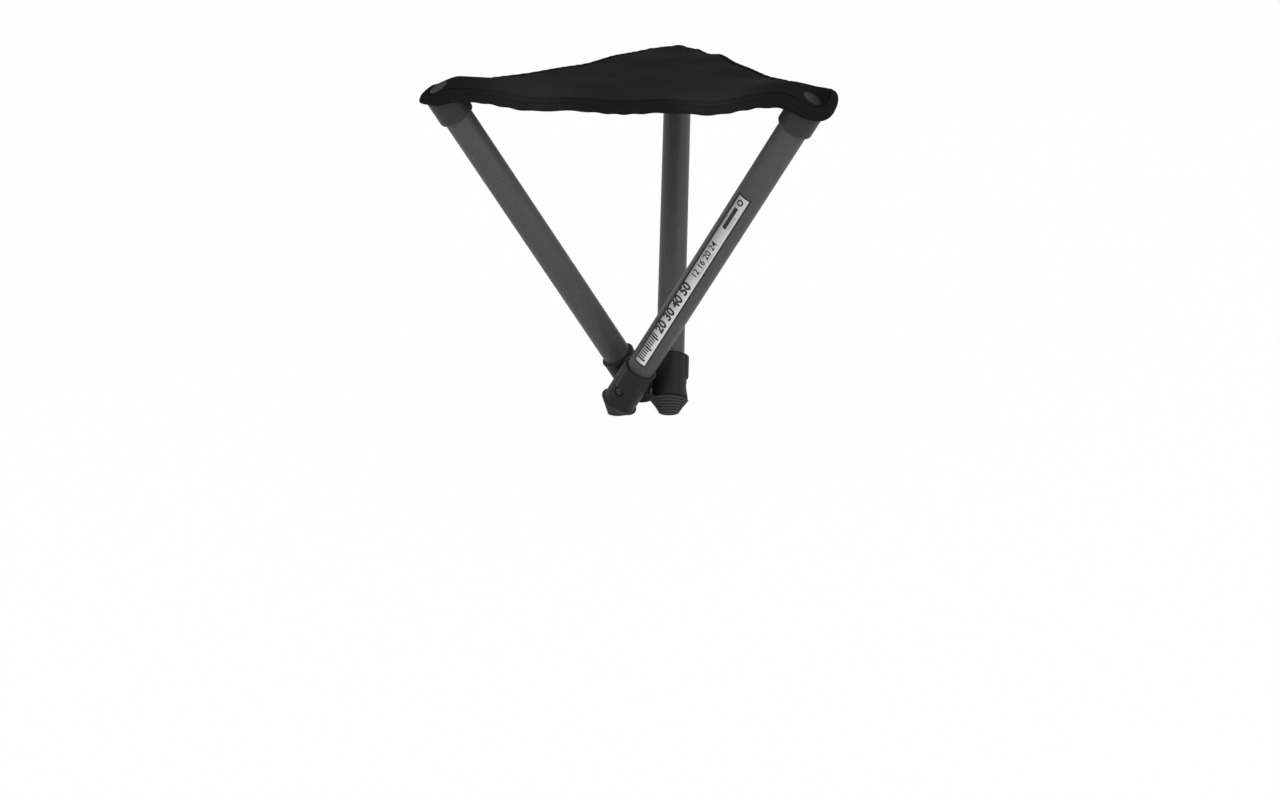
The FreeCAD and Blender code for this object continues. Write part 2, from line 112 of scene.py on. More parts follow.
@dataclass(frozen=True)
class LegFrame:
    """One leg's directions: x outwards along its pivot, y sideways, z up the leg from the pivot."""

    name: str
    pivot: np.ndarray
    turn: np.ndarray

    def place(self, points: np.ndarray) -> np.ndarray:
        """Points in the leg's directions, moved to the shared frame."""
        return self.pivot + points @ self.turn

    def local(self, points: np.ndarray) -> np.ndarray:
        """Points of the shared frame in the leg's directions."""
        return (points - self.pivot) @ self.turn.T

    def extent(self, piece: str) -> Extent:
        """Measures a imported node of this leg.

        Args:
            piece: the node's name without the leg's.

        Returns:
            Its lowest and highest point up the leg, its greatest distance from the leg's axis
            and its greatest reach outwards.
        """
        points = self.local(node_points(f"{self.name}_{piece}"))
        across = np.hypot(points[:, 0], points[:, 1])
        return Extent(points[:, 2].min(), points[:, 2].max(), across.max(), points[:, 0].max())


def node_points(node: str) -> np.ndarray:
    """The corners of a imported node's mesh, in millimetres."""
    mesh = frame["nodes"][node].data
    points = np.empty(len(mesh.vertices) * 3)
    mesh.vertices.foreach_get("co", points)
    return points.reshape(-1, 3) / MM


def read_leg(name: str) -> LegFrame:
    """Reads a leg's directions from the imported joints, and the place of its axis from its tube."""
    joints = {joint["name"]: joint for joint in frame["joints"]}
    fold = joints[f"{name}_leg_fold"]
    outwards = unit(np.array(fold["axis"], float))
    upwards = unit(-np.array(joints[f"{name}_leg_extend"]["axis"], float))
    hub = np.array(fold["pos_m"], float) / MM
    across = (node_points(f"{name}_upper_tube") - hub) @ outwards
    middle = (across.min() + across.max()) / 2.0
    turn = np.stack([outwards, np.cross(upwards, outwards), upwards])
    return LegFrame(name, hub + outwards * middle, turn)


# Making meshes


@dataclass
class Surface:
    """A mesh on the way: points in millimetres, faces of four corners, and (across, along) per point."""

    points: np.ndarray
    faces: np.ndarray
    uv: np.ndarray

    def joined(self, other: "Surface") -> "Surface":
        """This surface and another as one."""
        return Surface(
            np.vstack([self.points, other.points]),
            np.vstack([self.faces, other.faces + len(self.points)]),
            np.vstack([self.uv, other.uv]),
        )


def grid_faces(rows: int, columns: int) -> np.ndarray:
    """The four-cornered faces of a grid whose points are numbered row by row."""
    start = np.arange(rows - 1)[:, None] * columns + np.arange(columns - 1)[None, :]
    start = start.ravel()
    return np.stack([start, start + 1, start + columns + 1, start + columns], axis=1)


def grid_surface(points: np.ndarray, uv: np.ndarray) -> Surface:
    """A surface from a grid of points of shape (rows, columns, 3)."""
    rows, columns = points.shape[:2]
    return Surface(points.reshape(-1, 3), grid_faces(rows, columns), uv.reshape(-1, 2))


def rounded_outline(corners: list[tuple[float, float, float]], closed: bool, steps: int = 6) -> np.ndarray:
    """An outline whose corners are arcs.

    Each arc touches the two edges at its corner: its centre lies on the bisector, and its points
    turn evenly from one tangent point to the other.

    Args:
        corners: the radius, the height and the arc's radius of each corner.
        closed: whether the last corner joins the first.
        steps: the number of runs in an arc.

    Returns:
        An array of (radius, height) points; a closed outline repeats its first point.
    """
    spots = np.array([corner[:2] for corner in corners], float)
    count = len(corners)
    parts = []
    for index, (_, _, radius) in enumerate(corners):
        here = spots[index]
        end = not closed and index in (0, count - 1)
        if radius == 0.0 or end:
            parts.append(here[None])
            continue
        back = unit(spots[index - 1] - here)
        ahead = unit(spots[(index + 1) % count] - here)
        half = math.acos(float(np.clip(back @ ahead, -1.0, 1.0))) / 2.0
        centre = here + unit(back + ahead) * radius / math.sin(half)
        first = here + back * radius / math.tan(half) - centre
        last = here + ahead * radius / math.tan(half) - centre
        sweep = math.pi - 2.0 * half
        share = np.linspace(0.0, 1.0, steps + 1)[:, None]
        arc = (np.sin((1.0 - share) * sweep) * first + np.sin(share * sweep) * last) / math.sin(sweep)
        parts.append(centre + arc)
    if closed:
        parts.append(parts[0][:1])
    return np.vstack(parts)


def run_along(line: np.ndarray) -> np.ndarray:
    """The length of a line of points behind each of them."""
    steps = np.linalg.norm(np.diff(line, axis=0), axis=1)
    return np.concatenate([[0.0], np.cumsum(steps)])


def read_line(line: np.ndarray, along: np.ndarray, stations: np.ndarray) -> np.ndarray:
    """A line of points read at stations along it, straight between its points."""
    return np.stack([np.interp(stations, along, values) for values in line.T], axis=1)


def ring_points(radius: np.ndarray, height: np.ndarray, angle: np.ndarray) -> np.ndarray:
    """Points round the z axis: each is (r cos a, r sin a, z)."""
    return np.stack([radius * np.cos(angle), radius * np.sin(angle), height * np.ones_like(angle)], axis=-1)


def turned(outline: np.ndarray, segments: int) -> Surface:
    """An outline of (radius, height) points carried round the z axis.

    A point's place across is the arc, its angle times the widest radius, and its place along is
    the length of outline behind it.

    Args:
        outline: the points to carry round.
        segments: the number of faces round.

    Returns:
        The surface, with its seam still doubled.
    """
    angle = np.linspace(0.0, 2.0 * math.pi, segments + 1)
    radius, height = outline[:, 0:1], outline[:, 1:2]
    across = angle * radius.max() * np.ones_like(radius)
    along = run_along(outline)[:, None] * np.ones_like(angle)
    return grid_surface(ring_points(radius, height, angle), np.stack([across, along], axis=-1))


def raise_mesh(
    name: str,
    surface: Surface,
    place: Placing,
    finish: bpy.types.Material,
    crease: float = CREASE,
) -> bpy.types.Object:
    """Makes the object of a surface, with seams merged and faces turned outwards.

    Args:
        name: the piece's name.
        surface: the surface in millimetres.
        place: moves points to the shared frame.
        finish: the piece's material.
        crease: the angle in degrees past which an edge shows sharp.

    Returns:
        The object, at the origin, with its place in its mesh.
    """
    mesh = bpy.data.meshes.new(name)
    mesh.from_pydata(place(surface.points) * MM, [], surface.faces)
    corner = np.empty(len(mesh.loops), np.int32)
    mesh.loops.foreach_get("vertex_index", corner)
    mesh.uv_layers.new(name="cut").data.foreach_set("uv", surface.uv[corner].ravel())
    work = bmesh.new()
    work.from_mesh(mesh)
    bmesh.ops.remove_doubles(work, verts=work.verts, dist=WELD * MM)
    bmesh.ops.recalc_face_normals(work, faces=work.faces)
    work.to_mesh(mesh)
    work.free()
    mesh.shade_smooth()
    mesh.set_sharp_from_angle(angle=math.radians(crease))
    return link_piece(name, mesh, finish)


def link_piece(name: str, mesh: bpy.types.Mesh, *finishes: bpy.types.Material) -> bpy.types.Object:
    """Puts a mesh into the scene as an object at the origin.

    Args:
        name: the piece's name.
        mesh: its mesh, in the shared frame.
        *finishes: its materials, in the order of the faces' numbers.

    Returns:
        The object.
    """
    for finish in finishes:
        mesh.materials.append(finish)
    piece = bpy.data.objects.new(name, mesh)
    bpy.context.scene.collection.objects.link(piece)
    log.info("%s: %d faces", name, len(mesh.polygons))
    return piece


# Finishes


def grey(value: float) -> tuple[float, float, float, float]:
    """A neutral colour."""
    return (value, value, value, 1.0)


class Sum:
    """A number that varies over a surface; sums written on it add Math nodes."""

    def __init__(self, nodes: "Nodes", socket: bpy.types.NodeSocket) -> None:
        """Wraps a socket of some nodes."""
        self.nodes = nodes
        self.socket = socket

    def _with(self, operation: str, *others: "Sum | float", swapped: bool = False) -> "Sum":
        """A Math node on this number and others, in that order unless swapped."""
        parts = [self, *others]
        if swapped:
            parts.reverse()
        node = self.nodes.add("ShaderNodeMath", dict(enumerate(parts)), operation=operation)
        return Sum(self.nodes, node.outputs[0])

    def __add__(self, other: "Sum | float") -> "Sum":
        """The sum."""
        return self._with("ADD", other)

    __radd__ = __add__

    def __sub__(self, other: "Sum | float") -> "Sum":
        """The difference."""
        return self._with("SUBTRACT", other)

    def __rsub__(self, other: float) -> "Sum":
        """A plain number less this one."""
        return self._with("SUBTRACT", other, swapped=True)

    def __mul__(self, other: "Sum | float") -> "Sum":
        """The product."""
        return self._with("MULTIPLY", other)

    __rmul__ = __mul__

    def __truediv__(self, other: "Sum | float") -> "Sum":
        """The quotient."""
        return self._with("DIVIDE", other)

    def __pow__(self, other: float) -> "Sum":
        """A power."""
        return self._with("POWER", other)

    def __gt__(self, other: "Sum | float") -> "Sum":
        """1 where this is more, else 0."""
        return self._with("GREATER_THAN", other)

    def __lt__(self, other: "Sum | float") -> "Sum":
        """1 where this is less, else 0."""
        return self._with("LESS_THAN", other)

    def most(self, other: "Sum | bpy.types.NodeSocket") -> "Sum":
        """The greater of this and another."""
        return self._with("MAXIMUM", other)

    def absolute(self) -> "Sum":
        """The size without its sign."""
        return self._with("ABSOLUTE")

    def sine(self) -> "Sum":
        """The sine of an angle in radians."""
        return self._with("SINE")

    def within(self, period: float) -> "Sum":
        """The rest after whole periods."""
        return self._with("FLOORED_MODULO", period)

    def eased(self, low: float, high: float) -> "Sum":
        """A smooth step from 0 at low to 1 at high."""
        inputs = {"Value": self, "From Min": low, "From Max": high}
        node = self.nodes.add("ShaderNodeMapRange", inputs, interpolation_type="SMOOTHSTEP")
        return Sum(self.nodes, node.outputs["Result"])


class Nodes:
    """The nodes of a world or a material."""

    def __init__(self, owner: bpy.types.World | bpy.types.Material) -> None:
        """Clears the owner's nodes."""
        owner.use_nodes = True
        self.tree = owner.node_tree
        self.tree.nodes.clear()

    def add(self, kind: str, inputs: dict | None = None, **settings: object) -> bpy.types.Node:
        """Adds a node of any kind.

        Args:
            kind: the node's type.
            inputs: its sockets by name or number, each a plain value, a Sum or an output socket.
            **settings: its own properties.

        Returns:
            The node.
        """
        node = self.tree.nodes.new(kind)
        for key, value in settings.items():
            setattr(node, key, value)
        self.feed(node, inputs or {})
        return node

    def feed(self, node: bpy.types.Node, inputs: dict) -> None:
        """Sets or links a node's sockets, each by a plain value, a Sum or an output socket."""
        for key, value in inputs.items():
            socket = value.socket if isinstance(value, Sum) else value
            if isinstance(socket, bpy.types.NodeSocket):
                self.tree.links.new(socket, node.inputs[key])
            else:
                node.inputs[key].default_value = socket


class Finish(Nodes):
    """The nodes of one material, with the patterns that the finishes share."""

    def __init__(self, name: str) -> None:
        """Starts a material with a Principled shader on its output."""
        self.material = bpy.data.materials.new(name)
        super().__init__(self.material)
        self.shader = self.add("ShaderNodeBsdfPrincipled")
        self.add("ShaderNodeOutputMaterial", {"Surface": self.shader.outputs[0]})

    def place(self) -> bpy.types.NodeSocket:
        """The point's place in the shared frame, in metres."""
        return self.add("ShaderNodeTexCoord").outputs["Object"]

    def cut(self, name: str = "cut") -> tuple[Sum, Sum]:
        """The point's place across and along the piece, in millimetres, by one of its maps."""
        uv = self.add("ShaderNodeUVMap", uv_map=name).outputs[0]
        parts = self.add("ShaderNodeSeparateXYZ", {0: uv})
        return Sum(self, parts.outputs[0]), Sum(self, parts.outputs[1])

    def noise(self, grain: float, detail: float = 2.0, vector: bpy.types.NodeSocket | None = None) -> Sum:
        """Even noise from 0 to 1.

        Args:
            grain: the size of its blotches in millimetres.
            detail: how many finer layers it has.
            vector: the place it reads, or None for the shared frame.

        Returns:
            The noise.
        """
        inputs = {"Vector": vector or self.place(), "Scale": 1.0 / (grain * MM), "Detail": detail}
        return Sum(self, self.add("ShaderNodeTexNoise", inputs).outputs["Fac"])

    def mixed(self, low: float, high: float, share: Sum) -> bpy.types.NodeSocket:
        """A grey between two, by a share from 0 to 1."""
        return self.over(grey(low), high, share)

    def over(self, colour: bpy.types.NodeSocket | tuple, high: float, share: Sum) -> bpy.types.NodeSocket:
        """A grey laid over a colour by a share from 0 to 1."""
        inputs = {0: share, 6: colour, 7: grey(high)}
        return self.add("ShaderNodeMix", inputs, data_type="RGBA").outputs[2]

    def raised(self, height: Sum, depth: float) -> bpy.types.NodeSocket:
        """The normal of a fine relief.

        Args:
            height: the relief from 0 to 1.
            depth: its depth in millimetres.

        Returns:
            The normal's socket.
        """
        inputs = {"Height": height, "Distance": depth * MM, "Strength": 1.0}
        return self.add("ShaderNodeBump", inputs).outputs[0]

    def finish(self, **inputs: object) -> bpy.types.Material:
        """Sets the shader's sockets and gives the material.

        Args:
            **inputs: the shader's sockets, with _ for each space in a name.

        Returns:
            The material.
        """
        self.feed(self.shader, {key.replace("_", " "): value for key, value in inputs.items()})
        return self.material


@dataclass(frozen=True)
class PaintedTube:
    """Dark grey powder paint: a fine pale speckle, soft mottling and a slight orange peel."""

    base: float = 0.049
    speckle: float = 0.100
    sheen: float = 0.24

    def material(self) -> bpy.types.Material:
        """Makes the paint."""
        nodes = Finish("powder_paint")
        speckle = nodes.noise(0.55, 1.0).eased(0.52, 0.72)
        mottle = nodes.noise(9.0, 3.0)
        peel = nodes.noise(0.9, 2.0)
        colour = nodes.mixed(self.base, self.speckle, speckle * 0.75 + mottle * 0.25)
        return nodes.finish(
            Base_Color=colour,
            Roughness=0.44 + 0.10 * mottle - 0.05 * speckle,
            Specular_IOR_Level=self.sheen,
            Normal=nodes.raised(peel + speckle * 0.5, 0.035),
        )


@dataclass(frozen=True)
class MouldedPlastic:
    """Black moulded plastic: a fine sparked grain, faint flow marks and paler rubbed spots."""

    name: str
    base: float = 0.012
    rubbed: float = 0.026
    roughness: float = 0.44
    sheen: float = 0.14

    def material(self) -> bpy.types.Material:
        """Makes the plastic."""
        nodes = Finish(self.name)
        grain = nodes.noise(0.28, 2.0)
        flow = nodes.noise(6.0, 4.0)
        rubbed = nodes.noise(2.2, 5.0).eased(0.58, 0.80) * flow.eased(0.40, 0.62)
        return nodes.finish(
            Base_Color=nodes.mixed(self.base, self.rubbed, rubbed * 0.8 + flow * 0.2),
            Roughness=self.roughness + 0.12 * flow + 0.08 * rubbed,
            Specular_IOR_Level=self.sheen,
            Normal=nodes.raised(grain, 0.02),
        )


@dataclass(frozen=True)
class WovenCloth:
    """Black polyester in a plain weave: threads over and under, slight slubs and a faint bloom."""

    corner: np.ndarray
    inwards: np.ndarray
    # The middles of the painted highlights: patches painted paler where the slopes beside the front corners
    # would catch the light
    painted_highlights: list[np.ndarray]
    thread: float = 0.62
    base: float = 0.0060
    crown: float = 0.0150
    bloom: float = 0.024
    sheen: float = 0.004
    seam_reach: float = 31.0
    seam_bow: float = 0.0045
    # How far a painted highlight reaches, and the tone that it is painted in
    highlight_reach: float = 52.0
    highlight_tone: float = 0.034
    stitch_gap: float = 2.4
    stitch_pitch: float = 3.4

    def seams(self, nodes: Finish, across: Sum, along: Sum) -> tuple[Sum, Sum]:
        """Where the pocket's seam and the hem's topstitch sink in, and where their stitches lie."""
        right, ahead = across - float(self.corner[0]), along - float(self.corner[1])
        inward = right * float(self.inwards[0]) + ahead * float(self.inwards[1])
        aside = ahead * float(self.inwards[0]) - right * float(self.inwards[1])
        from_pocket = inward - self.seam_reach - aside * aside * self.seam_bow
        pocket_groove, pocket_stitch = self.seam(from_pocket, aside)
        hem_groove, hem_stitch = self.seam(*nodes.cut("hem"))
        return pocket_groove + hem_groove, pocket_stitch + hem_stitch

    def seam(self, away: Sum, run: Sum) -> tuple[Sum, Sum]:
        """One seam's groove, and the dashes of thread beside it.

        Args:
            away: the distance from the seam.
            run: the distance along it.

        Returns:
            Both as shares from 0 to 1.
        """
        row = (away - self.stitch_gap).absolute() < 0.3
        dash = row * (run.within(self.stitch_pitch) < 0.7 * self.stitch_pitch)
        return 1.0 - away.absolute().eased(0.3, 1.1), dash

    def material(self) -> bpy.types.Material:
        """Makes the cloth.

        Warp and weft crowns are the sizes of two sines across and along; a product of the two
        sines, eased, says which of them lies on top. The pocket of the corner is sewn on along a
        bowed seam, as far inwards as its reach plus its bow times the square of the way across,
        with a row of stitches beside it; the grooves of that seam and of the hem's topstitch are
        painted darker, as painted shade. Beside the two front corners the cloth is painted paler:
        painted highlights where its slopes would catch the light.
        """
        nodes = Finish("woven_polyester")
        across, along = nodes.cut()
        turn = 2.0 * math.pi / self.thread
        warp = (across * (turn / 2.0)).sine()
        weft = (along * (turn / 2.0)).sine()
        upper = (warp * weft).eased(-0.15, 0.15)
        crown = upper * warp.absolute() + (1.0 - upper) * weft.absolute()
        slub = nodes.noise(3.0, 3.0)
        bloom = nodes.noise(38.0, 4.0).eased(0.42, 0.75)
        colour = nodes.mixed(self.base, self.crown, crown * 0.8 + slub * 0.2)
        colour = nodes.over(colour, self.bloom, bloom * 0.22)
        # Painted highlights: paler patches beside the front corners, where the slopes would catch the light
        for spot in self.painted_highlights:
            right, ahead = across - float(spot[0]), along - float(spot[1])
            far = (right * right + ahead * ahead) ** 0.5
            pale = 1.0 - far.eased(0.1 * self.highlight_reach, self.highlight_reach)
            colour = nodes.over(colour, self.highlight_tone, pale * (0.35 + 0.3 * slub))
        groove, stitch = self.seams(nodes, across, along)
        # Painted shade: the seams' grooves are painted darker as well as sunk in
        colour = nodes.over(colour, self.base * 0.3, groove * 0.6)
        return nodes.finish(
            Base_Color=nodes.over(colour, self.bloom, stitch * 0.6),
            Roughness=0.62 + 0.14 * slub,
            Specular_IOR_Level=self.sheen,
            Normal=nodes.raised(crown * 0.15 + slub * 0.05 - groove + stitch * 0.5, 0.6),
        )


@dataclass(frozen=True)
class SewingThread:
    """Black bonded thread with a fine twist."""

    base: float = 0.006
    crown: float = 0.022

    def material(self) -> bpy.types.Material:
        """Makes the thread."""
        nodes = Finish("sewing_thread")
        across, along = nodes.cut()
        twist = ((across + along) * 9.0).sine().absolute()
        return nodes.finish(
            Base_Color=nodes.mixed(self.base, self.crown, twist),
            Roughness=0.5 + 0.1 * twist,
            Specular_IOR_Level=0.06,
            Normal=nodes.raised(twist, 0.05),
        )


@dataclass(frozen=True)
class FootRubber:
    """Dark grey rubber: pores, the grooves between the ribs painted darker as painted shade, and dust on the
    lower part.
    """

    base: float = 0.040
    dusty: float = 0.072
    # The tone of the painted shade in the grooves between the ribs
    groove: float = 0.010

    def material(self) -> bpy.types.Material:
        """Makes the rubber; the cut's second number counts the ribs, so its rest is a rib's wave."""
        nodes = Finish("foot_rubber")
        wave = nodes.cut()[1].within(1.0)
        # Painted shade: 1 in the grooves between the ribs, where the colour is darkened
        groove = 1.0 - wave.eased(0.0, 0.24) * (1.0 - wave.eased(0.70, 1.0))
        height = Sum(nodes, nodes.add("ShaderNodeSeparateXYZ", {0: nodes.place()}).outputs[2])
        dust = nodes.noise(1.6, 5.0).eased(0.35, 0.75) * (1.0 - height.eased(0.0, 0.016))
        pores = nodes.noise(0.35, 3.0)
        rib = nodes.mixed(self.base, self.dusty, dust * 0.7 + pores * 0.3)
        return nodes.finish(
            Base_Color=nodes.over(rib, self.groove, groove * 0.8),
            Roughness=0.70 + 0.15 * dust,
            Specular_IOR_Level=0.12,
            Normal=nodes.raised(pores, 0.05),
        )


@dataclass(frozen=True)
class Metal:
    """A drawn or turned metal: fine lines one way, with small stains."""

    name: str
    base: float
    bright: float
    roughness: float

    def material(self) -> bpy.types.Material:
        """Makes the metal."""
        nodes = Finish(self.name)
        stretched = nodes.add("ShaderNodeMapping", {0: nodes.place(), "Scale": (1.0, 1.0, 0.06)})
        lines = nodes.noise(0.25, 3.0, stretched.outputs[0])
        stains = nodes.noise(7.0, 4.0)
        return nodes.finish(
            Base_Color=nodes.mixed(self.base, self.bright, lines * 0.6 + stains * 0.4),
            Metallic=1.0,
            Roughness=self.roughness + 0.10 * stains + 0.05 * lines,
            Normal=nodes.raised(lines, 0.01),
        )


@dataclass(frozen=True)
class RivetPaint:
    """Dark grey enamel on a pressed rivet head, with fine scratches."""

    base: float = 0.022
    scratched: float = 0.044

    def material(self) -> bpy.types.Material:
        """Makes the enamel."""
        nodes = Finish("rivet_enamel")
        scratches = nodes.noise(0.5, 6.0).eased(0.60, 0.70)
        mottle = nodes.noise(3.0, 3.0)
        return nodes.finish(
            Base_Color=nodes.mixed(self.base, self.scratched, scratches * 0.6 + mottle * 0.2),
            Roughness=0.46 + 0.12 * mottle,
            Specular_IOR_Level=0.06,
            Normal=nodes.raised(mottle, 0.03),
        )


@dataclass(frozen=True)
class ScaleFilm:
    """Silver film: painted shade and highlight across and up the strip, fine brushed lines and a black
    printed frame.
    """

    width: float
    length: float
    # The shaded and the lit tone of the painted shading across the strip
    dark: float = 0.24
    pale: float = 0.70
    ink: float = 0.012
    frame_line: float = 1.2
    steep_line: float = 1.9

    def material(self) -> bpy.types.Material:
        """Makes the film.

        The frame is where an edge is closer than the line's width. The line is wider on the side
        that turns away.
        """
        nodes = Finish("scale_film")
        across, along = nodes.cut()
        inside = (across > self.steep_line) * (across < self.width - self.frame_line)
        end = (self.length / 2.0) - (along - self.length / 2.0).absolute()
        frame_ink = 1.0 - inside * (end > self.frame_line)
        brushed = nodes.noise(0.35, 2.0)
        # Painted shading: darker on the side that turns away round the tube and a little darker up the
        # strip, in place of its own highlight and shade
        painted_shading = (1.0 - (along / self.length) * 0.35) * (across / self.width).eased(-0.15, 0.95)
        silver = nodes.mixed(self.dark, self.pale, painted_shading * 0.9 + brushed * 0.1)
        return nodes.finish(
            Base_Color=nodes.over(silver, self.ink, frame_ink),
            Roughness=0.40 + 0.06 * brushed,
            Specular_IOR_Level=0.2,
            Normal=nodes.raised(brushed, 0.008),
        )


@dataclass(frozen=True)
class Ink:
    """Black printing ink, slightly uneven."""

    base: float = 0.012
    thin: float = 0.035

    def material(self) -> bpy.types.Material:
        """Makes the ink."""
        nodes = Finish("printing_ink")
        cover = nodes.noise(0.6, 3.0)
        return nodes.finish(
            Base_Color=nodes.mixed(self.base, self.thin, cover),
            Roughness=0.45 + 0.1 * cover,
            Specular_IOR_Level=0.2,
        )


def made(kind: type, *values: object, **named: float) -> bpy.types.Material:
    """A field that starts with the material of a finish of that kind."""
    return field(default_factory=lambda: kind(*values, **named).material())


@dataclass
class Finishes:
    """Every finish of the stool, made once."""

    paint: bpy.types.Material = made(PaintedTube)
    collar: bpy.types.Material = made(MouldedPlastic, "collar_plastic")
    cap: bpy.types.Material = made(
        MouldedPlastic, "cap_plastic", base=0.024, rubbed=0.046, roughness=0.40, sheen=0.18
    )
    bush: bpy.types.Material = made(
        MouldedPlastic, "bush_plastic", base=0.10, rubbed=0.16, roughness=0.5, sheen=0.3
    )
    button: bpy.types.Material = made(
        MouldedPlastic, "button_plastic", base=0.018, rubbed=0.045, roughness=0.40, sheen=0.2
    )
    thread: bpy.types.Material = made(SewingThread)
    rubber: bpy.types.Material = made(FootRubber)
    steel: bpy.types.Material = made(Metal, "pin_steel", base=0.42, bright=0.62, roughness=0.30)
    inner_tube: bpy.types.Material = made(Metal, "anodised_tube", base=0.30, bright=0.42, roughness=0.34)
    rivet: bpy.types.Material = made(RivetPaint)
    ink: bpy.types.Material = made(Ink)


# The legs


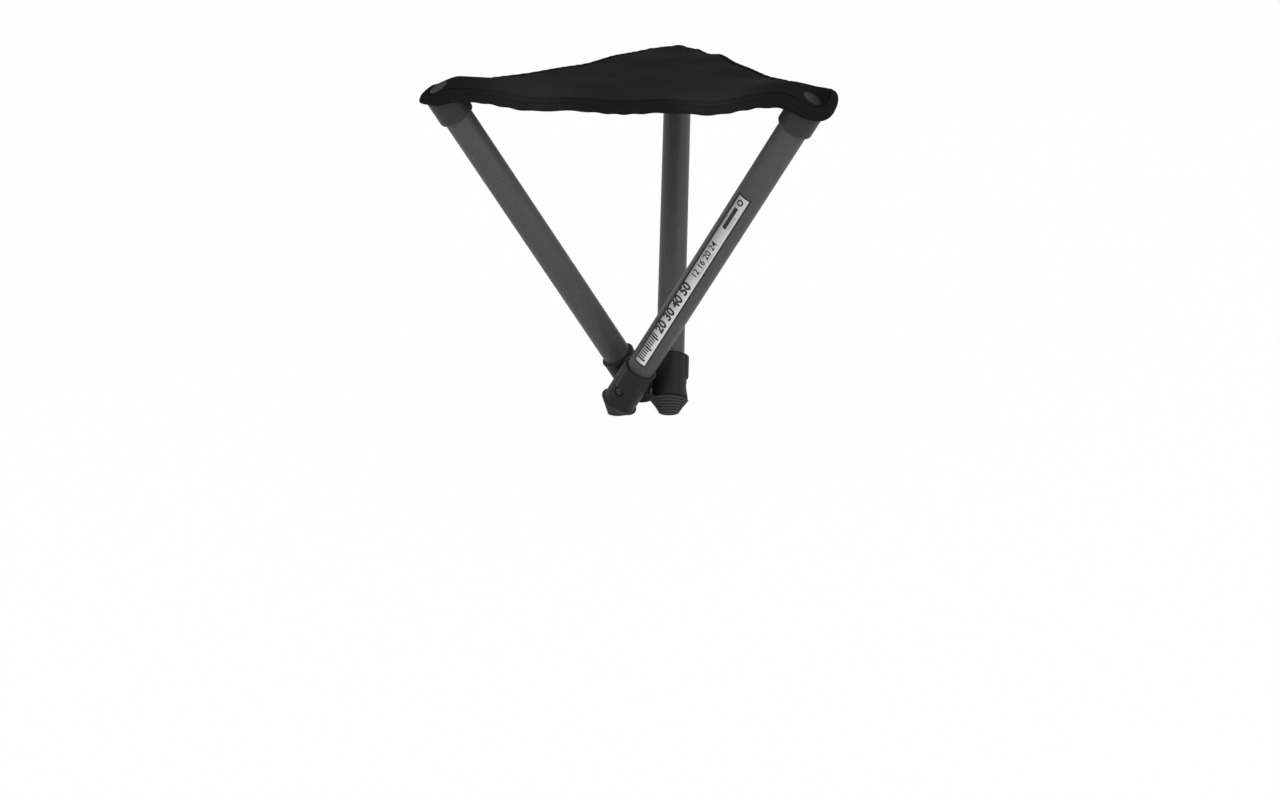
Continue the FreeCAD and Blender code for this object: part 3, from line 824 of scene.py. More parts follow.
@dataclass
class TelescopicLeg:
    """One leg: its two tubes, collar, button, cap, rivet and foot, in the leg's directions.

    Pairs of numbers are the ends of a smooth step: from the tube's wall outwards, from the
    recess's ring, from the collar's lower edge, or as shares of a rib or of the foot's side.
    """

    axes: LegFrame
    finishes: Finishes
    segments: int = 128
    lip_round: float = 0.35
    tube_wall: float = 1.2
    snug: float = 0.02
    slide_room: float = 0.3
    collar_columns: int = 320
    collar_rows: int = 150
    collar_low_radius: float = 15.0
    collar_top_radius: float = 14.9
    rim_radius: float = 15.4
    rim_band: float = 1.6
    rim_fade: tuple[float, float] = (0.9, 1.4)
    collar_step: float = 1.5
    spine_offset: float = 8.8
    lug_radius: float = 8.0
    waist_radius: float = 5.3
    flare_radius: float = 7.6
    lug_bevel: float = 1.2
    lug_low: float = 3.6
    waist_high: float = 1.8
    waist_low: float = -2.6
    flare_band: float = 1.4
    fillet: float = 0.8
    button_radius: float = 3.25
    button_height: float = 0.5
    button_ring: float = 4.2
    button_edge: tuple[float, float] = (-0.25, 0.15)
    button_floor: float = 12.62
    button_depth: float = 0.90
    parting_turn: float = math.radians(-52.0)
    parting_width: float = 0.45
    parting_depth: float = 0.35
    parting_low: tuple[float, float] = (2.0, 4.0)
    parting_high: tuple[float, float] = (6.0, 9.0)
    boss_radius: float = 7.0
    boss_flare: float = 1.2
    boss_sink: float = 1.6
    cap_round: float = 4.5
    rib_count: int = 7
    rib_depth: float = 0.6
    rib_sink: float = 0.54
    rib_rise: tuple[float, float] = (0.0, 0.22)
    rib_fall: tuple[float, float] = (0.72, 1.0)
    ribs_start: tuple[float, float] = (0.04, 0.10)
    ribs_end: tuple[float, float] = (0.97, 1.0)
    rib_rows: int = 20
    sole_radius: float = 9.0
    sole_rings: tuple[float, ...] = (0.93, 0.62, 0.56, 0.0)
    sole_steps: tuple[float, ...] = (0.0, 0.0, 0.5, 0.5)
    rim_spread: float = 0.6
    neck_radius: float = 14.2
    neck_height: float = 1.4
    rivet_sink: float = 1.5
    rivet_edge: float = 1.6
    shank_radius: float = 3.0

    def add(
        self, piece: str, surface: Surface, finish: bpy.types.Material, slot: str, body: str,
        crease: float = CREASE,
    ) -> bpy.types.Object:
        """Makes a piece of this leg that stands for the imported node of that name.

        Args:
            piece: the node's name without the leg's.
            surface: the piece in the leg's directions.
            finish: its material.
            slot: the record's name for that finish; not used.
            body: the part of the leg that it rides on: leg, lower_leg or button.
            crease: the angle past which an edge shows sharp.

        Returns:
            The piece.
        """
        node = f"{self.axes.name}_{piece}"
        made = raise_mesh(f"{node}_look", surface, self.axes.place, finish, crease)
        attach(made, f"{self.axes.name}_{body}")
        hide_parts(node)
        return made

    def tube(self, piece: str) -> Surface:
        """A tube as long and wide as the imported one, its four lips rounded."""
        size = self.axes.extent(piece)
        inner = size.radius - self.tube_wall
        lips = [(inner, size.low), (size.radius, size.low), (size.radius, size.high), (inner, size.high)]
        outline = [(*lip, self.lip_round) for lip in lips]
        return turned(rounded_outline(outline, closed=True), self.segments)

    def spine_reach(self, height: np.ndarray) -> np.ndarray:
        """The radius of the round spine at each height: flare, slant to the waist, slant, lug."""
        size = self.axes.extent("joint_collar")
        stations = [
            (size.low, self.flare_radius),
            (size.low + self.flare_band, self.flare_radius),
            (self.waist_low, self.waist_radius),
            (self.waist_high, self.waist_radius),
            (self.lug_low, self.lug_radius),
            (size.high - self.lug_bevel, self.lug_radius),
            (size.high, self.lug_radius - self.lug_bevel),
        ]
        return np.interp(height, *zip(*stations))

    def collar(self) -> Surface:
        """The joint collar.

        Outside, the radius at angle a and height z is the larger of the barrel's and the spine's,
        rounded where they meet. The spine is a circle of radius s whose centre lies c outwards,
        so its radius is c cos a + sqrt(s^2 - c^2 sin^2 a). A round recess takes the button. The
        outline then turns over the rim, down the bore and under the lower edge.
        """
        size = self.axes.extent("joint_collar")
        tube = self.axes.extent("upper_tube")
        inner = self.axes.extent("lower_tube").radius + self.slide_room
        bore, step = tube.radius + self.snug, size.low + self.collar_step
        top = size.high
        barrel = rounded_outline([
            (inner, size.low, 0.3),
            (self.collar_low_radius, size.low, 0.7),
            (self.collar_low_radius, 0.0, 0.0),
            (self.collar_top_radius, top - self.rim_band - 0.7, 0.0),
            (self.rim_radius, top - self.rim_band, 0.5),
            (self.rim_radius, top, 0.8),
            (tube.radius + 0.55, top, 0.4),
            (tube.radius + 0.35, top - 1.6, 0.0),
            (bore, top - 1.8, 0.0),
            (bore, step, 0.0),
            (inner, step, 0.0),
        ], closed=True)
        outline = self.resampled(barrel, self.collar_rows)
        angle = np.linspace(-math.pi, math.pi, self.collar_columns + 1)
        radius, height = outline[:, 0:1], outline[:, 1:2]
        outer = eased(radius - tube.radius, *self.rim_fade)
        spine = self.spine_reach(height)
        inside = spine**2 - (self.spine_offset * np.sin(angle)) ** 2
        reach = self.spine_offset * np.cos(angle) + np.sqrt(np.maximum(inside, 0.0))
        reach = np.where((inside > 0.0) & (np.cos(angle) > 0.0), reach, 0.0)
        rounded = -soft_min(-radius, -reach, self.fillet)
        wide = radius + (rounded - radius) * outer
        across = self.collar_low_radius * angle
        from_button = np.hypot(across, height - self.button_height)
        sunk = 1.0 - eased(from_button - self.button_ring, *self.button_edge)
        parting = bell(across - self.collar_low_radius * self.parting_turn, self.parting_width)
        parting = parting * (1.0 - eased(height, *self.parting_high))
        parting = parting * eased(height - size.low, *self.parting_low)
        wide = wide + (self.button_floor - wide) * sunk * outer - self.parting_depth * parting * outer
        along = run_along(outline)[:, None] * np.ones_like(angle)
        uv = np.stack([across * np.ones_like(radius), along], axis=-1)
        return grid_surface(ring_points(wide, height, angle), uv)

    @staticmethod
    def resampled(outline: np.ndarray, count: int) -> np.ndarray:
        """An outline's own points and more between them, about evenly spaced along it."""
        along = run_along(outline)
        stations = np.unique(np.concatenate([along, np.linspace(0.0, along[-1], count)]))
        return read_line(outline, along, stations)

    def boss(self) -> Surface:
        """The round boss between collar and hub, along the pivot, towards the middle."""
        reach = -self.axes.local(node_points(f"{self.axes.name}_joint_collar"))[:, 0].min()
        root = self.collar_low_radius - self.boss_sink
        outline = rounded_outline([
            (0.0, reach, 0.0),
            (self.boss_radius, reach, 0.6),
            (self.boss_radius, self.collar_low_radius - self.boss_flare, self.boss_flare),
            (self.boss_radius + self.boss_flare, root, 0.0),
            (0.0, root, 0.0),
        ], closed=False)
        made = turned(outline, self.segments // 2)
        x, y, z = made.points.T
        return Surface(np.stack([-z, y, x], axis=1), made.faces, made.uv)

    def button(self) -> Surface:
        """The release button: a shallow dome with a rolled edge, facing outwards."""
        size = self.axes.extent("release_button")
        seat, face = size.reach - self.button_depth, size.reach
        radius = self.button_radius
        outline = rounded_outline([
            (0.0, seat, 0.0),
            (radius, seat, 0.2),
            (radius, face - 0.3, 0.35),
            (radius * 0.72, face, 1.0),
            (0.0, face, 0.0),
        ], closed=False)
        made = turned(outline, self.segments // 2)
        x, y, z = made.points.T
        return Surface(np.stack([z, y, -x + self.button_height], axis=1), made.faces, made.uv)

    def cap(self) -> Surface:
        """The cap: a sleeve with a bevelled lower edge and a rounded, closed top."""
        size = self.axes.extent("top_cap")
        tube = self.axes.extent("upper_tube")
        bore, plate = tube.radius + self.snug, tube.high
        outline = rounded_outline([
            (0.0, plate, 0.0),
            (bore, plate, 0.0),
            (bore, size.low + 1.0, 0.0),
            (bore + 0.35, size.low, 0.2),
            (size.radius - 0.7, size.low, 0.3),
            (size.radius, size.low + 1.4, 0.6),
            (size.radius, size.high, self.cap_round),
            (0.0, size.high, 0.0),
        ], closed=False)
        return turned(outline, self.segments)

    def rivet(self) -> Surface:
        """The rivet: a shank, and a head with a rolled rim round a slightly dished face."""
        size = self.axes.extent("seat_rivet")
        face = size.high - self.rivet_sink
        outline = rounded_outline([
            (0.0, size.low, 0.0),
            (self.shank_radius, size.low, 0.3),
            (self.shank_radius, face - self.rivet_edge, 0.0),
            (size.radius, face - self.rivet_edge, 0.4),
            (size.radius, face - 0.1, 0.7),
            (size.radius - self.rivet_edge, face, 0.8),
            (size.radius - 2.6, face - 0.35, 0.8),
            (0.0, face - 0.2, 0.0),
        ], closed=False)
        return turned(outline, self.segments // 2)

    def foot(self) -> Surface:
        """The rubber foot.

        Its side runs straight from the rim, square to the leg, to the level sole: a point at
        share t is (1 - t) rim + t sole, moved out and in by a rib wave of t. Above the rim stands
        a short neck, and under the ground line the sole closes flat with one shallow ring.
        """
        size = self.axes.extent("rubber_foot")
        points = self.axes.local(node_points(f"{self.axes.name}_rubber_foot"))
        widest = points[np.hypot(points[:, 0], points[:, 1]) > size.radius - 0.05]
        rim_height = widest[:, 2].mean()
        placed = self.axes.place(points)
        low = points[placed[:, 2] < placed[:, 2].min() + 0.05]
        sole_centre = (low.max(axis=0) + low.min(axis=0)) / 2.0
        level_x = self.axes.turn @ np.array([*self.axes.turn[0][:2], 0.0])
        level_y = self.axes.turn @ np.cross(UP, self.axes.turn[0])
        angle = np.linspace(0.0, 2.0 * math.pi, self.segments + 1)
        rim = ring_points(size.radius + self.rim_spread, rim_height, angle)
        level_way = np.cos(angle)[:, None] * level_x + np.sin(angle)[:, None] * level_y
        sole = sole_centre + self.sole_radius * level_way
        share = np.linspace(0.0, 1.0, self.rib_rows * self.rib_count + 1)[:, None, None]
        side = (1.0 - share) * rim + share * sole
        outwards = unit(rim - np.array([0.0, 0.0, rim_height]))
        wave = (share * self.rib_count) % 1.0
        rib = self.rib_depth * (eased(wave, *self.rib_rise) - eased(wave, *self.rib_fall))
        sunk = self.rib_sink * (1.0 - eased(share, *self.ribs_end))
        side = side + outwards * (rib - sunk) * eased(share, *self.ribs_start)
        narrowed, lifted = (np.array(row)[:, None, None] for row in (self.sole_rings, self.sole_steps))
        inner_sole = sole_centre + (sole - sole_centre) * narrowed + self.axes.turn @ UP * lifted
        neck = self.neck_rings(rim_height, size.radius + self.rim_spread, angle)
        rings = np.concatenate([neck, side, inner_sole])
        phase = np.full((len(rings), 1), 0.5)
        phase[len(neck) : len(neck) + len(side)] = share[..., 0] * self.rib_count
        across = angle * size.radius * np.ones_like(phase)
        return grid_surface(rings, np.stack([across, phase * np.ones_like(angle)], axis=-1))

    def neck_rings(self, rim_height: float, rim_radius: float, angle: np.ndarray) -> np.ndarray:
        """The rings of the foot's neck, from the middle of its top down to the rim."""
        outline = rounded_outline([
            (0.0, rim_height + self.neck_height, 0.0),
            (self.neck_radius, rim_height + self.neck_height, 0.3),
            (rim_radius - 0.5, rim_height + 0.35, 0.5),
            (rim_radius, rim_height, 0.0),
        ], closed=False)[:-1]
        return ring_points(outline[:, 0:1], outline[:, 1:2], angle)

    def build(self) -> None:
        """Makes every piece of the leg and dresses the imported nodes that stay."""
        add, finish = self.add, self.finishes
        add("upper_tube", self.tube("upper_tube"), finish.paint, "tube_paint", "leg")
        add("lower_tube", self.tube("lower_tube"), finish.inner_tube, "lower_tube_metal", "lower_leg")
        add("joint_collar", self.collar().joined(self.boss()), finish.collar, "black_plastic", "leg", 40.0)
        add("release_button", self.button(), finish.button, "black_plastic", "button")
        add("top_cap", self.cap(), finish.cap, "black_plastic", "leg")
        add("seat_rivet", self.rivet(), finish.rivet, "rivet_paint", "leg")
        add("rubber_foot", self.foot(), finish.rubber, "foot_rubber", "lower_leg", 50.0)
        kept = {
            "lower_guide_bush": finish.bush,
            "upper_guide_bush": finish.bush,
            "snap_pin": finish.steel,
            "snap_spring": finish.steel,
            "pivot_pin": finish.steel,
        }
        for piece, material in kept.items():
            dress_node(f"{self.axes.name}_{piece}", material)


def dress_node(node: str, finish: bpy.types.Material) -> None:
    """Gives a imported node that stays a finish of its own."""
    mesh = frame["nodes"][node].data
    mesh.materials.clear()
    mesh.materials.append(finish)
    log.info("%s: packed node dressed in %s", node, finish.name)


# The printed scale


@dataclass(frozen=True)
class Mark:
    """A line of plain characters on the scale.

    Attributes:
        text: what it says.
        along: where it starts, from the strip's lower end.
        across: how far its foot lies from the strip's left side.
        size: the height of a line.
        weight: how much the strokes are thickened.
    """

    text: str
    along: float
    across: float
    size: float
    weight: float = 0.0


@dataclass
class HeightScale:
    """The silver strip on the right leg, with a generic scale of plain ticks and numbers."""

    axes: LegFrame
    finishes: Finishes
    columns: int = 48
    rows: int = 24
    thickness: float = 0.15
    print_height: float = 0.04
    print_weld: float = 1e-4
    tick_pitch: float = 2.5
    tick_count: int = 12
    tick_start: float = 5.4
    tick_left: float = 2.2
    tick_right: float = 8.6
    tick_half: float = 0.62
    fifth_right: float = 10.2
    fifth_half: float = 0.90
    bar_block: tuple[float, ...] = (4.4, 8.0, 154.0, 176.0)
    ring_radii: tuple[float, float] = (1.5, 2.9)
    ring_place: tuple[float, float] = (6.4, 181.6)
    ring_segments: int = 40
    longest_edge: float = 0.9
    marks: tuple[Mark, ...] = (
        Mark("20 30 40 50", 37.0, 9.6, 11.4, 0.034),
        Mark("12 16 20 24", 100.0, 8.9, 8.0, 0.018),
        Mark("1 2 3 4 5 6 7 8 9 10 11 12 13 14 15", 101.0, 10.8, 1.9),
        Mark("0 10 20 30 40 50", 155.0, 10.4, 1.9),
        Mark("5 15 25 35 45", 155.0, 3.6, 1.9),
    )

    def build(self) -> None:
        """Makes the strip and its print."""
        points = self.axes.local(node_points("height_label"))
        angle = np.arctan2(points[:, 1], points[:, 0])
        radius = np.hypot(points[:, 0], points[:, 1]).max()
        low = points[:, 2].min()
        width, length = (angle.max() - angle.min()) * radius, points[:, 2].max() - low
        wrap = self.wrapped(radius, angle.min(), low)
        film = ScaleFilm(width, length).material()
        ticks = [self.tick(index) for index in range(self.tick_count)]
        printed = reduce(Surface.joined, [*ticks, self.patch(*self.bar_block), self.ring()])
        strip = raise_mesh("height_scale_film", self.strip(width, length), wrap, film)
        pieces = [strip, raise_mesh("height_scale_ticks", printed, wrap, self.finishes.ink)]
        pieces += [self.lettering(f"height_scale_row_{i}", mark, wrap) for i, mark in enumerate(self.marks)]
        for piece in pieces:
            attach(piece, f"{self.axes.name}_leg")
        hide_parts("height_label")

    def wrapped(self, radius: float, start: float, low: float) -> Placing:
        """Bends flat (across, along, thickness) points round the tube: the angle is across / radius.

        Args:
            radius: the tube's.
            start: the angle of the strip's left side.
            low: the height of its lower end.

        Returns:
            A function that moves flat points to the shared frame.
        """

        def place(points: np.ndarray) -> np.ndarray:
            """Points on the tube, in the shared frame."""
            across, along, depth = points.T
            angle = start + across / radius
            out = radius + depth
            return self.axes.place(np.stack([out * np.cos(angle), out * np.sin(angle), low + along], axis=1))

        return place

    def strip(self, width: float, length: float) -> Surface:
        """A thin plate: a grid whose border rows drop to the tube."""
        across = np.concatenate([[0.0], np.linspace(0.0, width, self.columns), [width]])
        along = np.concatenate([[0.0], np.linspace(0.0, length, self.rows), [length]])
        grid_across, grid_along = np.meshgrid(across, along)
        depth = np.zeros_like(grid_across)
        depth[[0, -1], :] = -self.thickness
        depth[:, [0, -1]] = -self.thickness
        points = np.stack([grid_across, grid_along, depth], axis=-1)
        return grid_surface(points, np.stack([grid_across, grid_along], axis=-1))

    def patch(self, left: float, right: float, low: float, high: float) -> Surface:
        """A printed block, in columns narrow enough to follow the tube."""
        across = np.linspace(left, right, 2 + int((right - left) / self.longest_edge))
        points = np.stack(np.broadcast_arrays(across, np.array([[low], [high]]), self.print_height), axis=-1)
        return grid_surface(points, points[..., :2])

    def tick(self, index: int) -> Surface:
        """One of the ruler's ticks across the strip's lower end: each fifth longer and thicker."""
        fifth = index % 5 == 0
        middle = self.tick_start + index * self.tick_pitch
        half = self.fifth_half if fifth else self.tick_half
        right = self.fifth_right if fifth else self.tick_right
        return self.patch(self.tick_left, right, middle - half, middle + half)

    def ring(self) -> Surface:
        """A plain ring at the strip's upper end: points between two radii."""
        outline = np.array([[radius, self.print_height] for radius in self.ring_radii])
        made = turned(outline, self.ring_segments)
        return Surface(made.points + np.array([*self.ring_place, 0.0]), made.faces, made.uv)

    def lettering(self, name: str, mark: Mark, wrap: Placing) -> bpy.types.Object:
        """A row of characters that reads up the leg, wrapped round the tube.

        Args:
            name: the piece's name.
            mark: what it says and where.
            wrap: bends flat points round the tube.

        Returns:
            The piece.
        """
        text = bpy.data.curves.new(name, "FONT")
        text.body, text.size = mark.text, mark.size
        text.offset = mark.weight * mark.size
        text.resolution_u = 6
        holder = bpy.data.objects.new(name, text)
        flat = bpy.data.meshes.new_from_object(holder)
        bpy.data.objects.remove(holder)
        work = bmesh.new()
        work.from_mesh(flat)
        bmesh.ops.remove_doubles(work, verts=work.verts, dist=self.print_weld)
        for level in np.arange(-mark.size, mark.size, self.longest_edge):
            whole = [*work.verts, *work.edges, *work.faces]
            bmesh.ops.bisect_plane(work, geom=whole, plane_co=(0.0, level, 0.0), plane_no=(0.0, 1.0, 0.0))
        work.to_mesh(flat)
        work.free()
        count = len(flat.vertices)
        spots = np.empty(count * 3, np.float32)
        flat.vertices.foreach_get("co", spots)
        x, y, _ = spots.reshape(-1, 3).T
        height = np.full(count, self.print_height)
        points = wrap(np.stack([mark.across - y, mark.along + x, height], axis=1))
        flat.vertices.foreach_set("co", (points * MM).astype(np.float32).ravel())
        flat.materials.clear()
        return link_piece(name, flat, self.finishes.ink)


# The seat


class Part(Enum):
    """The parts that the cloth is cut into where it creases."""

    NOSE = 0
    LEFT_HAND = 1
    RIGHT_HAND = -1


@dataclass(frozen=True)
class CornerShape:
    """How the cloth lies round one cap.

    Attributes:
        slant: the share of the cap's slant that it keeps beyond the rivet.
        reach: how far its edge lies from the leg's axis.
        lift: how much higher it lies round the rivet than under it.
        crest: the ridge's height over the corner.
        flat: how far the ridge keeps its height.
        fade: the length over which the ridge sinks.
        spread: the ridge's half width at the corner.
        widening: how much wider it gets per length.
        tip_drop: the depth of the wall at the tip.
        side_drop: the depth of the wall a quarter turn from it.
        lift_turn: the direction of the most lift, in degrees from the tip to the right hand.
        bend: the size of its rounded edge.
        tuck: how far the wall's lower edge is drawn in.
        well: how far it lies on the cap round the rivet.
    """

    slant: float = 0.75
    reach: float = 19.3
    lift: float = 0.0
    crest: float = 8.6
    flat: float = 15.0
    fade: float = 62.0
    spread: float = 11.5
    widening: float = 0.27
    tip_drop: float = 6.0
    side_drop: float = 12.0
    lift_turn: float = 0.0
    bend: float = 6.0
    tuck: float = 1.5
    well: float = 8.8


@dataclass(frozen=True)
class EdgeShape:
    """One edge of the cloth, seen from outside, at even shares from its left to its right end.

    Attributes:
        fold: heights over the corners of the fold, where the upper face turns down.
        drop: how deep the wall hangs from them.
        ripple: the size of the small waves in its lower edge.
    """

    fold: tuple[float, ...]
    drop: float = 10.0
    ripple: float = 0.35


@dataclass(frozen=True)
class Sewing:
    """The sewn hem: how far its forms stand out or sink in, and the size of its stitches.

    Attributes:
        band: the height of the hem's band on the wall.
        swell: how far the band swells out.
        groove: how deep the seam over the band sinks in.
        topstitch: how deep the seam on the upper face sinks in.
        inset: how far that seam lies from the fold.
        nose_inset: how much further it lies at the corner.
        welt: how far the cloth swells up beside it.
        pucker: the size of the small waves along the band's seam.
        rumple: the size of those along the upper one.
        pitch: the distance between stitches.
        half: half a stitch's length.
        thread: the thread's radius.
        proud: how far the thread's middle stands out of the groove.
        stations: where along half a stitch its rings lie.
    """

    band: float = 6.2
    swell: float = 0.45
    groove: float = 0.55
    topstitch: float = 0.80
    inset: float = 6.0
    nose_inset: float = 3.0
    welt: float = 0.55
    pucker: float = 0.16
    rumple: float = 0.22
    pitch: float = 3.4
    half: float = 1.25
    thread: float = 0.34
    proud: float = 0.15
    stations: tuple[float, ...] = (-0.97, -0.7, 0.0, 0.7, 0.97)


def along_edge(values: tuple[float, ...], share: np.ndarray) -> np.ndarray:
    """A smooth line through even values: straight runs averaged over a sliding window."""
    fine = np.linspace(0.0, 1.0, 201)
    line = np.interp(fine, np.linspace(0.0, 1.0, len(values)), values)
    window = np.hanning(25)
    line = np.convolve(np.pad(line, 12, mode="edge"), window / window.sum(), mode="valid")
    return np.interp(share, fine, line)


@dataclass
class SeatCloth:
    """The seat: one cloth drawn over three caps, cut into corner noses and panels where it creases.

    Each corner has its own spokes: lines that leave the rivet hole or the ridge that runs from the
    corner to the middle, and end at the hem. Heights are measured in the shared frame.

    Attributes:
        corner_offset: how far the hem lies outside the line between two corners, near a corner.
        middle_offset: the same in the middle between them.
        cap_soft: how softly the cloth goes over from ridge to cap.
        edge_near: the distance from an edge within which that edge alone gives the height.
        hole_end: where along the hem the last spoke from the rivet hole ends.
        cut_at: where along the hem the nose is cut from its panels.
        crest_at_cut: where along the ridge that spoke starts.
        inner_spoke: where one more spoke ends along the hem and starts along the ridge.
        hem_evenness: the share of even steps in the spokes' places along the hem.
        row_crowding: how much closer the rows lie towards the fold.
        most_bend: the greatest share of a spoke that the fold's curve may take.
        settle_by: the share of half an edge by which the hem has left the cap's circle.
        narrow_from: the share from which it goes over to the offset of the middle.
        free_from: the share of the nose from which its wall comes free of the cap.
        free_after: how far past the nose the wall hangs free.
        lean_in: how much a free wall leans in.
        lean_up: how much its outward direction leans up.
        bend_run: where the fold goes over from the corner's curve to the hem's.
        cap_run: how far the cloth faces along the leg, as on the cap.
    """

    legs: dict[str, LegFrame]
    finishes: Finishes
    hole_radius: float = 2.6
    well_slope: float = 8.0
    leave_turn: float = math.radians(60.0)
    corner_offset: float = 16.0
    middle_offset: float = 12.0
    thickness: float = 1.6
    cap_soft: float = 5.0
    middle_dip: float = 1.5
    dip_radius: float = 60.0
    edge_near: float = 6.0
    ridge_power: float = 1.15
    slant_soft: float = 3.0
    hem_round: float = 3.0
    nose_columns: int = 26
    hem_columns: int = 96
    top_rows: int = 56
    shoulder_rows: int = 9
    wall_rows: int = 22
    hole_end: float = 4.0
    cut_at: float = 13.0
    crest_at_cut: float = 21.0
    inner_spoke: tuple[float, float] = (34.0, 48.0)
    hem_evenness: float = 0.55
    row_crowding: float = 0.55
    most_bend: float = 0.6
    settle_by: float = 0.55
    narrow_from: float = 0.3
    free_from: float = 0.55
    free_after: float = 30.0
    lean_in: float = 0.10
    lean_up: float = 0.05
    bend_run: tuple[float, float] = (12.0, 70.0)
    cap_run: float = 26.0
    blend_from: float = 21.0
    blend_to: float = 54.0
    cells_per_mm: float = 500.0
    sewing: Sewing = field(default_factory=Sewing)
    # Where the painted highlights lie: how far along each front edge, and how far inwards
    highlight_at: float = 70.0
    highlight_in: float = 12.0
    corner_shapes: dict[str, CornerShape] = field(default_factory=lambda: {
        "rear": CornerShape(slant=1.0, lift=-1.8, crest=4.4, spread=25.0, widening=0.1),
        "left": CornerShape(reach=18.4, tip_drop=5.0),
        "right": CornerShape(
            lift=12.0, reach=24.2, crest=12.5, spread=24.0, widening=0.10, tip_drop=11.0,
            side_drop=8.6, lift_turn=58.0, bend=6.5, tuck=5.0, well=6.6,
        ),
    })
    edge_shapes: dict[str, EdgeShape] = field(default_factory=lambda: {
        "left": EdgeShape((-2.0, -0.8, 0.6, -2.5, -1.7, -2.6, -2.0, -2.0, -1.0)),
        "rear": EdgeShape((0.0, 0.0, 2.2, 0.6, 2.6, 2.2, 4.3, -2.2, -3.0)),
        "right": EdgeShape((-1.4, 1.6, -4.9, -3.3, -5.8, -2.5, -3.9, 4.1, 1.0), drop=9.9),
    })
    corners: dict[str, np.ndarray] = field(init=False)
    middle: np.ndarray = field(init=False)
    cloth: bpy.types.Material = field(init=False)

    def __post_init__(self) -> None:
        """Finds the corners on top of the pockets and the middle between them, and makes the cloth."""
        self.corners = {}
        for name, axes in self.legs.items():
            top = axes.extent("corner_pocket").high
            self.corners[name] = axes.place(np.array([[0.0, 0.0, top]]))[0]
        self.middle = np.mean(list(self.corners.values()), axis=0)
        # Painted highlights beside the left and right corners
        painted_highlights = [self.painted_highlight_spot("left", -1), self.painted_highlight_spot("right", 1)]
        self.cloth = WovenCloth(self.corners["rear"], self.inwards("rear"), painted_highlights).material()

    def inwards(self, leg: str) -> np.ndarray:
        """The level direction from a corner to the middle."""
        way = self.middle - self.corners[leg]
        return unit(way * np.array([1.0, 1.0, 0.0]))

    def edge_way(self, leg: str, side: int) -> np.ndarray:
        """The level direction from a corner along its edge on the left hand (1) or right hand (-1)."""
        left_hand = np.cross(UP, self.inwards(leg)) * side
        return unit(math.cos(math.pi / 6.0) * self.inwards(leg) + math.sin(math.pi / 6.0) * left_hand)

    def painted_highlight_spot(self, leg: str, side: int) -> np.ndarray:
        """The middle of the patch beside a corner where the cloth is painted paler, as a painted highlight.
        """
        aside = self.highlight_at * self.edge_way(leg, side)
        return self.corners[leg] + aside + self.highlight_in * self.inwards(leg)

    def neighbour(self, leg: str, side: int) -> str:
        """The corner on the left hand (1) or right hand (-1) of someone who looks inwards."""
        left_hand = np.cross(UP, self.inwards(leg))
        return max(
            (name for name in self.legs if name != leg),
            key=lambda name: side * float((self.corners[name] - self.corners[leg]) @ left_hand),
        )

    def edge_of(self, leg: str, side: int) -> EdgeShape:
        """The shape of the edge on one side of a corner; each edge has the name of its right end."""
        return self.edge_shapes[leg if side > 0 else self.neighbour(leg, side)]

    def base_height(self, spots: np.ndarray) -> np.ndarray:
        """The height of the cloth without its ridges.

        Each edge gives the height of its fold at the nearest point of it; inside, the three are
        averaged by the inverse square of the distance to them, which starts at a few millimetres.
        """
        total = np.zeros(spots.shape[:-1])
        weights = np.zeros(spots.shape[:-1])
        for leg, shape in self.edge_shapes.items():
            start, end = self.corners[leg][:2], self.corners[self.neighbour(leg, 1)][:2]
            length = np.linalg.norm(end - start)
            along = (end - start) / length
            outwards = np.array([along[1], -along[0]])
            outwards = outwards * np.sign(outwards @ (start - self.middle[:2]))
            share = ((spots[..., :2] - start) @ along) / length
            away = self.middle_offset - (spots[..., :2] - start) @ outwards
            weight = 1.0 / (np.maximum(away, 0.0) + self.edge_near) ** 2
            total += weight * along_edge(shape.fold, 1.0 - share)
            weights += weight
        return self.middle[2] + total / weights

    def height(self, spots: np.ndarray) -> np.ndarray:
        """The height of the cloth's upper face over level spots.

        A ridge runs inwards from each corner: its crest falls off along the way, and across it the
        height falls as a bell that widens inwards. Over each cap the cloth lies on the cap's
        slanting top under the rivet, and less steeply beyond it, so the lesser of ridge and cap
        counts, rounded where they meet.
        """
        far = np.linalg.norm(spots[..., :2] - self.middle[:2], axis=-1)
        level = self.base_height(spots) - self.middle_dip * bell(far, self.dip_radius)
        caps = []
        for leg, axes in self.legs.items():
            shape, corner, inwards = self.corner_shapes[leg], self.corners[leg], self.inwards(leg)
            away = spots[..., :2] - corner[:2]
            along, across = away @ inwards[:2], away @ np.cross(UP, inwards)[:2]
            crest = shape.crest + corner[2] - float(self.base_height(corner[None])[0])
            fall = np.exp(-((np.maximum(along - shape.flat, 0.0) / shape.fade) ** self.ridge_power))
            spread = shape.spread + shape.widening * np.maximum(along, 0.0)
            level = level + crest * fall * bell(across, spread)
            slope = axes.turn[2][:2] / axes.turn[2][2]
            steep = -away @ slope
            from_axis = np.linalg.norm(away, axis=-1)
            well = 1.0 - eased(from_axis, shape.well, shape.well + self.well_slope)
            turn = math.radians(shape.lift_turn)
            toward = -(along * math.cos(turn) + across * math.sin(turn)) / np.maximum(from_axis, 1.0)
            lift = shape.lift * (0.5 + 0.5 * toward) ** 3 if shape.lift_turn else shape.lift
            loose = -soft_min(-steep, -steep * shape.slant, self.slant_soft) + lift
            caps.append(corner[2] + steep * well + loose * (1.0 - well))
        for cap in caps:
            level = soft_min(level, cap, self.cap_soft)
        return level

